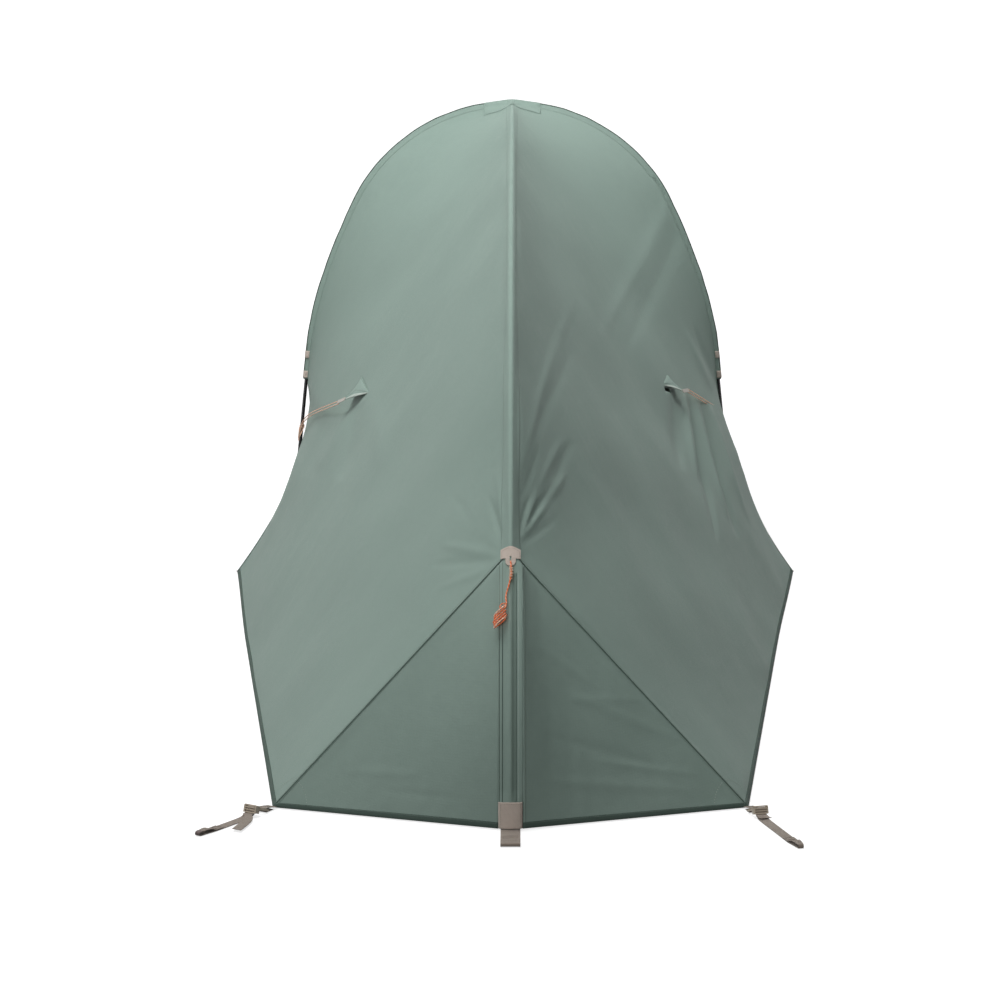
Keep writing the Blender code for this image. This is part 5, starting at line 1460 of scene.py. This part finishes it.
def corner_frame(strap):
    """The local frame of a rear corner strap: out along the strap, across it, and up."""
    out = np.array([strap["side"] * math.sin(strap["swing"]), -math.cos(strap["swing"]), 0.0])
    return strap_frame(np.array([strap["side"] * REAR_CORNER[0], REAR_CORNER[1], 0.0]), out)


def buckle_frame(strap):
    """The buckle's frame: its origin on the bar in the corner tab, tilted up outwards."""
    origin, out, across, up = corner_frame(strap)
    axis = origin + out * TAB_REACH + up * BUCKLE_AXIS_Z
    plate = out * math.cos(BUCKLE_RISE) + up * math.sin(BUCKLE_RISE)
    return axis, plate, across, up * math.cos(BUCKLE_RISE) - out * math.sin(BUCKLE_RISE)


def make_ladder_lock(label, strap):
    """A ladder-lock buckle: a frame with three bars, the middle one notched, and an upright barred face."""
    half = CORNER_WEB_WIDTH / 2 + 0.001
    outer, bar, lip = half + 0.003, 0.0018, 0.0328
    top, low, face = 0.0060, -0.0095, 0.0378
    parts = [
        ((-bar, -outer, -bar), (bar, outer, bar)),
        ((0.0107, -half, -0.0016), (0.0138, half, 0.0014), 0.25),
        ((0.0237, -half, -bar), (0.0300, half, bar), 0.15),
        ((0.0296, -outer + 0.001, -0.0010), (lip, outer - 0.001, bar + 0.0003), 0.2),
    ]
    for height in (low, -0.0048, -0.0004, top - 0.0022):
        parts.append(((face, -outer, height), (face + 0.0032, outer, height + 0.0022), 0.15))
    for side in (-1, 1):
        near, far = sorted((side * half, side * outer))
        parts.append(((-bar, near, -bar), (0.0312, far, bar), 0.12))
        parts.append(((0.0284, near, low + 0.0006), (face + 0.0028, far, top - 0.0006)))
    for spot in np.linspace(-half + 0.0016, half - 0.0016, 11):
        parts.append(((0.0232, spot - 0.0006, 0.0), (0.0244, spot + 0.0006, bar + 0.0004), 0.3))
    lock = block_piece(f"ladder_lock_{label}", buckle_frame(strap), parts, BUCKLE, f"buckle_{label}", 0.0006)
    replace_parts(lock, f"corner_buckle_{label}")


def strap_width(strap, points):
    """A corner strap's width at points of it, pinched at its peg loop."""
    origin, out, _, _ = corner_frame(strap)
    to_end = strap["reach"] - (points - origin) @ out
    return CORNER_WEB_WIDTH * np.interp(to_end, [0, 0.010, 0.045], [0.48, 0.62, 1.0])


def make_corner(label, strap):
    """A rear corner's sewn tab, its buckle, and the strap threaded through it with its loose tail."""
    frame, body, reach = corner_frame(strap), f"buckle_{label}", strap["reach"]
    rise = GROUND_GAP + (FLY + CORNER_WEB + FIT) / 2
    tab = [(strap["seat"], rise), (0.014, 0.0064), (TAB_REACH - 0.004, BUCKLE_AXIS_Z + TAB_LOOP_R)]
    tab += [*arc((TAB_REACH, BUCKLE_AXIS_Z), (TAB_LOOP_R, 0), (0, TAB_LOOP_R), 85, -85, 9)]
    tab += [(TAB_REACH - 0.006, 0.0015), (0.012, 0.0020)]
    line = smooth(laid(frame, tab), 70)
    web = ribbon(f"corner_web_{label}", line, frame[2], CORNER_WEB_WIDTH, TAUPE, CORNER_WEB, cells=8)
    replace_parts(web, f"corner_tab_{label}")
    bar_tacks(f"corner_web_stitches_{label}", frame, ((0.010, 0.0066), (0.020, 0.0082)), CORNER_WEB_WIDTH)

    above, inner = 0.0018 + CORNER_WEB, 0.0222
    wrap = [(0.0440, -0.0152), (0.0392, -0.0126), (0.0350, -0.0072), (0.0322, -above)]
    wrap += [(inner + 0.0012, -above), (inner, -0.5 * above), (inner, 0.5 * above), (inner + 0.0012, above)]
    wrap += [(0.0336, above)]
    wrap += [(0.0358, 0.0008), (0.0366, -0.0046), (0.0398, -0.0108), (0.0450, -0.0134)]
    route = laid(frame, peg_loop(reach, TAB_REACH + 0.062)[::-1]) + laid(buckle_frame(strap), wrap)
    tail, base = strap["tail"], TAB_REACH + 0.0310
    for s, z, share in ((0.026, 0.0050, 0.25), (0.050, 0.0042, 0.55), (tail, 0.0046, 1.0)):
        if s <= tail:
            route.append(place(frame, (base + s, strap["side"] * strap["splay"] * share, z)))
    line = smooth(route, 240)
    strap_piece = ribbon(
        f"peg_strap_{label}", line, frame[2], strap_width(strap, line), TAUPE, CORNER_WEB, body=body, cells=8
    )
    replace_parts(strap_piece, f"corner_strap_{label}")
    bar_tacks(f"peg_strap_stitches_{label}", frame, lap_tacks(reach), CORNER_WEB_WIDTH, body)
    make_ladder_lock(label, strap)
    if label == "left":
        hub, low = reach - 0.0032 - CORNER_WEB / 2, FIT + WEB / 2
        ring = arc((hub, low + 0.0032), (0.0040, 0), (0, 0.0037), -90, 90, 11)
        ring = [(hub - 0.008, low - 0.00035), *ring, (hub - 0.006, low + 0.0074)]
        cover = smooth(laid(frame, [(s, max(z, 0.0007)) for s, z in ring]), 40)
        wide = 0.0008 + strap_width(strap, cover)
        ribbon("peg_loop_sleeve", cover, frame[2], wide, MAUVE_TAPE, 0.0006, body=body)
        total = lengths(line)
        under = line[total > total[-1] - 0.046][:-3] - UP * (0.5 * CORNER_WEB + 0.0004)
        ribbon("strap_tail_lining", under, frame[2], CORNER_WEB_WIDTH - 0.001, DARK_TAPE, 0.0005, body=body)


def make_corners():
    """Both rear corners."""
    for label, strap in CORNER_STRAPS.items():
        make_corner(label, strap)


PORCH_OUT = np.array([0.45, 0.893, 0.0])


def make_foot_straps():
    """The straps from each wing corner under the arch pole's foot, and the front loops."""
    foot, porch = np.array([FOOT_X, ARCH_Y, 0.0]), np.array([PORCH_HALF_WIDTH, ARCH_Y + PORCH_DEPTH, 0.0])
    for label, side in SIDES.items():
        corner = np.array([WING_CORNER[0] + side * WING_SWAY[side][0], WING_CORNER[1], 0.0])
        out, reach = unit(foot - corner), np.linalg.norm(foot - corner) - 0.004 + 0.078
        frame = strap_frame(corner + out * 0.004, out, side)
        ground_strap("foot_web", f"_{label}", f"foot_strap_{label}", frame, reach, 120, FOOT_WEB_WIDTH)
        frame = strap_frame(porch - PORCH_OUT * 0.008, PORCH_OUT, side)
        ground_strap("front_web", f"_{label}", f"front_loop_{label}", frame, 0.080, 90, FOOT_WEB_WIDTH)


# ---- vents
VENT_SHAPES = {
    -1: {"inner": (-0.118, -0.014), "top": (0.016, 0.038), "tip": (-0.010, -0.031), "lift": 0.021,
         "tape": (0.036, -0.033), "edge": 0.745},
    1: {"inner": (-0.018, 0.016), "top": (0.066, 0.052), "tip": (0.080, 0.001), "lift": 0.018,
        "tape": (0.130, 0.008), "edge": 0.713},
}


def make_vents():
    """The hoods over the side vents, drawn out to a point, with a turned edge painted lighter as a highlight,
    and a webbing end.
    """
    peak = 0.55
    for label, side in SIDES.items():
        frame, form = vent_frame(side), VENT_SHAPES[side]
        inner, top, tip, tape = (np.array(form[key]) for key in ("inner", "top", "tip", "tape"))
        grid = []
        for share in np.linspace(0, 1, 33):
            past = max(0.0, (share - peak) / (1 - peak))
            crest = inner + (top - inner) * min(1.0, share / peak) + (tip - top) * past
            edge = inner + (tip - inner) * share
            rise = 0.0012 + form["lift"] * share**1.3 + 0.004 * math.sin(math.pi * share)
            low = place(frame, (*edge, rise))
            rise = 0.0014 + 0.9 * form["lift"] * past**1.6
            high = place(frame, (crest[0] + 0.002, crest[1] + 0.003 + 0.006 * past, rise))
            bulge = 0.0045 * math.sin(math.pi * min(1.0, 1.1 * share + 0.1)) + 0.0012 * math.sin(11 * share)
            middle = (low + high) / 2 + frame[3] * bulge
            grid.append(bezier(low, low + (middle - low) * 0.9, middle + (high - middle) * 0.3, high, 13))
        grid = np.array(grid)
        piece = cloth(f"vent_cover_{label}", grid, SAGE)
        long = float(np.linalg.norm(grid - grid[0, 0], axis=2).max())
        declare(piece, f"vent_hood_{label}", grid, long=long)
        # painted highlight: the hood's turned lower lip is a lighter copy of the fly cloth
        edge = grid[:, :2] + frame[3] * 0.0007
        turned = np.stack([edge[:, 0] - frame[2] * 0.0022, edge[:, 0], edge[:, 1]], axis=1)
        cloth(f"vent_edge_{label}", turned, HOOD_LIP_HIGHLIGHT, THIN)
        rows = [grid[1:-1, -2] + frame[3] * 0.0006, grid[1:-1, 3] + frame[3] * 0.0006]
        stitches(f"vent_stitches_{label}", rows, THREAD)
        run = [tip + (tape - tip) * share for share in (-0.25, 0.3, 0.7, 1.0)]
        spots = [place(frame, (*spot, form["lift"] + 0.0030)) for spot in run]
        ribbon(f"vent_tape_{label}", smooth(spots, 20), frame[2], 0.009, PALE_TAPE, 0.0011)


def vent_route(aside, side):
    """One run of a vent cord from the hood's tape towards the pole, turned round to the right side."""
    lift = FLY / 2 + CORD_R + 0.0024
    form = VENT_SHAPES[side]
    tip = place(vent_frame(1), (*form["tape"], form["lift"] + 0.0010))
    line = [tip]
    for share in (0.6, 0.8, 0.999):
        along = VENT_ALONG + (1 - VENT_ALONG) * share
        down = VENT_DOWN + (form["edge"] - VENT_DOWN) * share
        spot, normal = panel_point(min(along, 0.996), down)
        line.append(spot + normal * lift)
    run = line[-1] - tip
    sideways = unit(UP - run * (run[2] / (run @ run)))
    return [point + sideways * aside for point in line]


def make_vent_cords():
    """The doubled cords from each vent hood, wound round the arch pole."""
    centre = wrap_centre()
    below = at(ARCH, [arch_distance(VENT_CORD_Z) + 0.01])[0]
    down = unit(below - centre)
    radius = POLE_R + CORD_R + FIT
    for label, side in SIDES.items():
        away = centre - vent_route(0.0, side)[0]
        away = unit(away - down * (away @ down)) * radius
        ring = arc(centre, away, np.cross(down, away), -90, 450, 40)
        ring = ring + down * np.linspace(-0.004, 0.002, len(ring))[:, None]
        line = smooth([*vent_route(0.003, side), *ring[::3], *vent_route(-0.003, side)[::-1]], 200)
        piece = tube(f"vent_line_{label}", mirrored(line, side), CORD_R * 0.9, PALE_CORD, sides=14)
        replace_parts(piece, f"vent_cord_{label}")


# ---- the front door's zip
def make_slider(name, frame, pull_length, body):
    """A zip slider: a shield-shaped body with flared cheeks, a bridge, and a drop-shaped pull."""
    parts = (
        ((-0.0042, -0.0068, -0.0017), (0.0042, 0.0060, -0.0007), 0.1),
        ((-0.0040, -0.0064, 0.0002), (0.0040, 0.0056, 0.0013), 0.25),
        ((-0.0012, -0.0050, -0.0010), (0.0012, 0.0030, 0.0006)),
        ((-0.0011, -0.0035, 0.0012), (0.0011, 0.0035, 0.0028), 0.3),
    )
    made = block_piece(name, frame, parts, METAL, body, 0.0004)
    rim = []
    for turn in np.arange(34) * 2 * math.pi / 32:
        half = 0.0026 * math.sin(turn) * (1 + 0.25 * math.cos(turn))
        rim.append(place(frame, (half, -0.002 - pull_length / 2 * (1 + math.cos(turn)), 0.0024)))
    tube(name + "_pull", rim, 0.0006, METAL, sides=8, body=body, ends=False)
    return made


ZIP_WIDTH = 0.0108
ZIP_SEAM = 0.0042
TOOTH_PITCH = 0.0011
TOOTH = [(x * wide, y * deep, z) for wide, deep, z in ((1, 1, 0), (0.7, 0.8, 1)) for x, y in CORNERS]
TOOTH_FACES = np.array([(3, 2, 1, 0), (4, 5, 6, 7), (0, 1, 5, 4), (1, 2, 6, 5), (2, 3, 7, 6), (3, 0, 4, 7)])


def make_door_zip():
    """The coil zip along the door's right edge, on its two tapes, and its slider."""
    line = zip_line()
    slope = unit(line[-1] - line[0])
    normal = facing(unit(np.cross(slope, ACROSS)), 1)
    across = facing(np.cross(normal, slope), 0)
    run = at(line, np.linspace(0.045, lengths(line)[-1] - 0.004, 60))
    run = run + normal * (FLY / 2 + FIT + 0.0004) + across * 0.005
    tape = ribbon("zip_tape", run, across, ZIP_WIDTH, SAGE_DARK, 0.0006, cells=8)
    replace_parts(tape, "door_zip")
    middle = at(run, np.arange(0, lengths(run)[-1], TOOTH_PITCH)) + normal * 0.0007
    points, faces = [], []
    for k, centre in enumerate(middle):
        faces += (TOOTH_FACES + len(points)).tolist()
        hand = 0.0009 if k % 2 else -0.0009
        for x, y, z in TOOTH:
            points.append(centre + across * (0.0017 * x + hand) + slope * 0.00042 * y + normal * 0.0008 * z)
    mesh = bpy.data.meshes.new("zip_coil")
    mesh.from_pydata(points, [], faces)
    new_object("zip_coil", mesh, PLASTIC)
    rows = [run + across * shift + normal * 0.0004 for shift in (-ZIP_SEAM, ZIP_SEAM)]
    stitches("zip_stitches", rows, THREAD)
    spot = run[-1] - slope * 0.012 + normal * 0.0032
    slider = make_slider("zip_slider", (spot, across, slope, normal), 0.020, "door_slider")
    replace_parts(slider, "door_zip_slider")


# ---- the inner tent
FLOOR_HALF_LENGTH = 1.05
FLOOR_HALF = {False: 0.32, True: 0.46}
TUB_HEIGHT = 0.085
TUB_LEAN = 0.010
INNER_TOP = (ARCH_Y - 0.22, CROWN_Z - 0.079)
INNER_RIM = TUB_HEIGHT + 2 * FIT
FLOOR_CLOTH_THICKNESS = 0.0012
FLOOR_CORNERS = ((1, False), (1, True), (-1, True), (-1, False))


def floor_corner(side, front, z):
    """A corner of the tub floor at the ground or at the tub's rim."""
    lean = TUB_LEAN * z / TUB_HEIGHT
    y = FLOOR_HALF_LENGTH - lean
    return np.array([side * (FLOOR_HALF[front] - lean), y if front else -y, z])


def make_floor():
    """The tub floor: one sheet with its walls turned up all round, and a row of stitches round its rim."""
    profile = [(0.0, 0.0), (0.35, 0.0), (0.7, 0.0), (0.9, 0.0), (0.965, 0.0006), (0.99, 0.003), (1.0, 0.010)]
    profile += [(1.0, z) for z in np.linspace(0.018, TUB_HEIGHT, 9)]
    grid = []
    for share, z in profile:
        share = max(share, 0.02)
        spots = [floor_corner(side, front, z) * [share, share, 1] for side, front in FLOOR_CORNERS]
        ring = []
        for k, (spot, ahead, count) in enumerate(zip(spots, [*spots[1:], spots[0]], (44, 18, 44, 18))):
            out = unit([ahead[1] - spot[1], spot[0] - ahead[0], 0.0])
            for step in np.arange(count) / count:
                sag = 0.0016 * math.sin(17 * step + 40 * z + k) * (z > 0.02) * math.sin(math.pi * step)
                ring.append(spot + (ahead - spot) * step + out * sag + UP * FLOOR_CLOTH_THICKNESS / 2)
        grid.append(ring)
    grid = np.array(grid)
    grid[-1, :, 2] = TUB_HEIGHT
    piece = cloth("tub_floor", grid, FLOOR_CLOTH, 0.0010, closed=True, offset=-0.5, capped=True)
    area = 2 * FLOOR_HALF_LENGTH * (FLOOR_HALF[True] + FLOOR_HALF[False])
    area += TUB_HEIGHT * (4 * FLOOR_HALF_LENGTH + 2 * (FLOOR_HALF[True] + FLOOR_HALF[False]))
    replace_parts(piece, "inner_floor")
    rim = np.concatenate([grid[-1], grid[-1][:1]])
    stitches("tub_stitches", [even(rim, 900) - [0, 0, 0.004]], PALE_THREAD, pitch=0.006, length=0.004)


def inner_front_y(z):
    """The leaning front wall's position at a height."""
    base = FLOOR_HALF_LENGTH - TUB_LEAN - FLOOR_CLOTH_THICKNESS / 2
    return base + (z - TUB_HEIGHT) / (INNER_TOP[1] - TUB_HEIGHT) * (INNER_TOP[0] - base)


def inner_front_edge(count):
    """The front wall's right edge, from the inner ridge to the floor's corner."""
    top = np.array([0.0007, 0, INNER_TOP[1]])
    low = np.array([FLOOR_HALF[True] - TUB_LEAN - FLOOR_CLOTH_THICKNESS / 2, 0, INNER_RIM])
    handles = (0.52 * low[0], 0, INNER_TOP[1] - 0.010), (0.78 * low[0], 0, 0.68 * INNER_TOP[1])
    line = bezier(top, *handles, low, 41)
    line[:, 1] = [inner_front_y(z) for z in line[:, 2]]
    return even(line, count)


def inner_ridge(count):
    """The inner tent's ridge, from the floor's rear rim to the front wall."""
    run, rise = INNER_TOP[0] + FLOOR_HALF_LENGTH - 0.020, INNER_TOP[1] - INNER_RIM
    turns = np.linspace(0, math.pi / 2, 41)
    along, up = INNER_TOP[0] - run * np.cos(turns), INNER_RIM + rise * np.sin(turns)
    return even(np.stack([0 * turns + 0.0007, along, up], axis=1), count)


def inner_edges(rows, columns):
    """The right inner wall between rear seam, front wall, ridge and rim."""
    seam, wall = np.array([0, 0.0009, 0]), FLOOR_CLOTH_THICKNESS / 2
    low = inner_ridge(rows)
    last = inner_front_edge(columns) - seam
    low[-1] = last[0]
    rear = floor_corner(1, False, TUB_HEIGHT)
    corner = np.array([rear[0] - wall, rear[1] + wall, INNER_RIM])
    first = between(low[0], corner, columns)
    return first, last, low, between(first[-1], last[-1], rows)


DOOR_HALF, DOOR_NARROW = 0.26, 0.17
DOOR_LOW, DOOR_SHOULDER, DOOR_TOP = 0.105, 0.405, 0.645
DOOR_OUTLINE = ((DOOR_HALF, DOOR_LOW), (DOOR_HALF, DOOR_SHOULDER), (DOOR_NARROW, DOOR_TOP), (0.0, DOOR_TOP))
DOOR_OUTLINE += tuple((-x, z) for x, z in DOOR_OUTLINE[2::-1]) + ((0.0, DOOR_LOW),)


def make_inner():
    """The inner tent: two side walls, the front wall round its door, and the door."""
    base = stretched(inner_edges, 48, 32)
    for label, side in SIDES.items():
        grid = folded(mirrored(base, side), (), ((0.28, 0.7, 0.4, 0.0016), (0.07, 0.7, 0.5, 0.0003)), side)
        piece = cloth(f"inner_wall_{label}", grid, INNER, THIN)
        declare(piece, f"inner_side_{label}", grid)
        lines = [inner_ridge(200) * [side, 1, 1] + [side * 0.003, 0, 0.0004]]
        stitches(f"inner_ridge_stitches_{label}", lines, THREAD, **INNER_STITCH)
    gap = 0.0010
    inner = []
    for x, z in DOOR_OUTLINE:
        above = z + gap * ((z == DOOR_TOP) - (z == DOOR_LOW))
        inner.append((x + gap * np.sign(x), inner_front_y(above), above))
    edge = inner_front_edge(5)
    outer = [edge[4], edge[3], edge[2], np.array([0.0, edge[0][1], edge[0][2]])]
    outer += [mirrored(edge[k], -1) for k in (2, 3, 4)]
    outer.append((edge[4] + outer[-1]) / 2)
    steps = np.arange(10)[:, None] / 10
    low, high = (
        np.concatenate([here + (ahead - here) * steps for here, ahead in zip(line, [*line[1:], line[0]])])
        for line in (np.array(inner), np.array(outer))
    )
    grid = [low + (high - low) * share for share in np.linspace(0, 1, 13)]
    piece = cloth("inner_front_wall", grid, INNER, THIN, closed=True)
    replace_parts(piece, "inner_front")
    flap = np.array([(x, inner_front_y(z), z) for x, z in DOOR_OUTLINE]) * [0.997, 1, 1]
    column = np.array([flap[7], (flap[1] + flap[5]) / 2, flap[3]])
    rows = []
    for share in np.linspace(-1, 1, 41):
        line = column + (flap[:3] - column) * abs(share)
        rows.append(even(mirrored(line, math.copysign(1.0, share)), 49))
    grid = np.array(rows)
    piece = cloth("inner_door_flap", grid, INNER, THIN, body="inner_door")
    declare(piece, "inner_door", grid)
    lines = [line * [0.985, 1, 1] + ALONG * 0.0006 for line in (grid[0], grid[:, -1], grid[-1][::-1])]
    stitches("inner_door_stitches", lines, THREAD, **INNER_STITCH, body="inner_door")
    slope = unit(flap[1] - flap[0])
    normal = facing(np.cross(ACROSS, slope), 1)
    corner = np.array([DOOR_HALF + 0.00425 + 2 * gap, inner_front_y(DOOR_LOW), DOOR_LOW])
    spot = corner + slope * 0.02 + normal * (FIT + 0.0021)
    slider = make_slider("inner_slider_body", (spot, ACROSS, slope, normal), 0.016, "inner_slider")
    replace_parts(slider, "inner_zip_slider")


HANGER_SETBACKS = (0.45, 1.10, 1.70)
HANGER_WIDTH = 0.015


def make_hangers():
    """The webbing hangers between the ridge sleeve and the inner ridge."""
    ridge = inner_ridge(81)
    for number, setback in enumerate(HANGER_SETBACKS, 1):
        spot, outward = on_ridge(CROWN_Z * math.sqrt(1 - (setback / RIDGE_RUN) ** 2))
        top = spot - outward * (SLEEVE_R + 2 * FIT)
        low_z = float(np.interp(top[1], ridge[:, 1], ridge[:, 2])) + 0.0003 + FIT
        line = even([top, np.array([0.0, top[1], low_z])], 14)
        line[:, 0] += 0.0008 * np.sin(np.linspace(0, math.pi, 14))
        along = (0.0, outward[2], -outward[1])
        hanger = ribbon(f"hanger_{number}", line, along, HANGER_WIDTH, TAUPE, 0.001)
        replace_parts(hanger, f"inner_hanger_{number}")


def dress_poles():
    """Better materials on the poles, their tips and the hub, which keep their shapes."""
    for name in frame["nodes"]:
        if name.startswith(("arch_pole", "ridge_pole", "pole_tip", "pole_hub")):
            for spot in bpy.data.objects[name].material_slots:
                spot.material = PLASTIC if name.startswith("pole_") else POLE


for make in (
    make_panels, make_ridge_band, make_arch_bands, make_seams, make_hems, make_rear_band, make_crown_patch,
    make_sleeve_tabs, make_cap, make_pocket, make_centre_strap, make_corners, make_foot_straps, make_vents,
    make_vent_cords, make_door_zip, make_floor, make_inner, make_hangers, dress_poles,
):
    make()
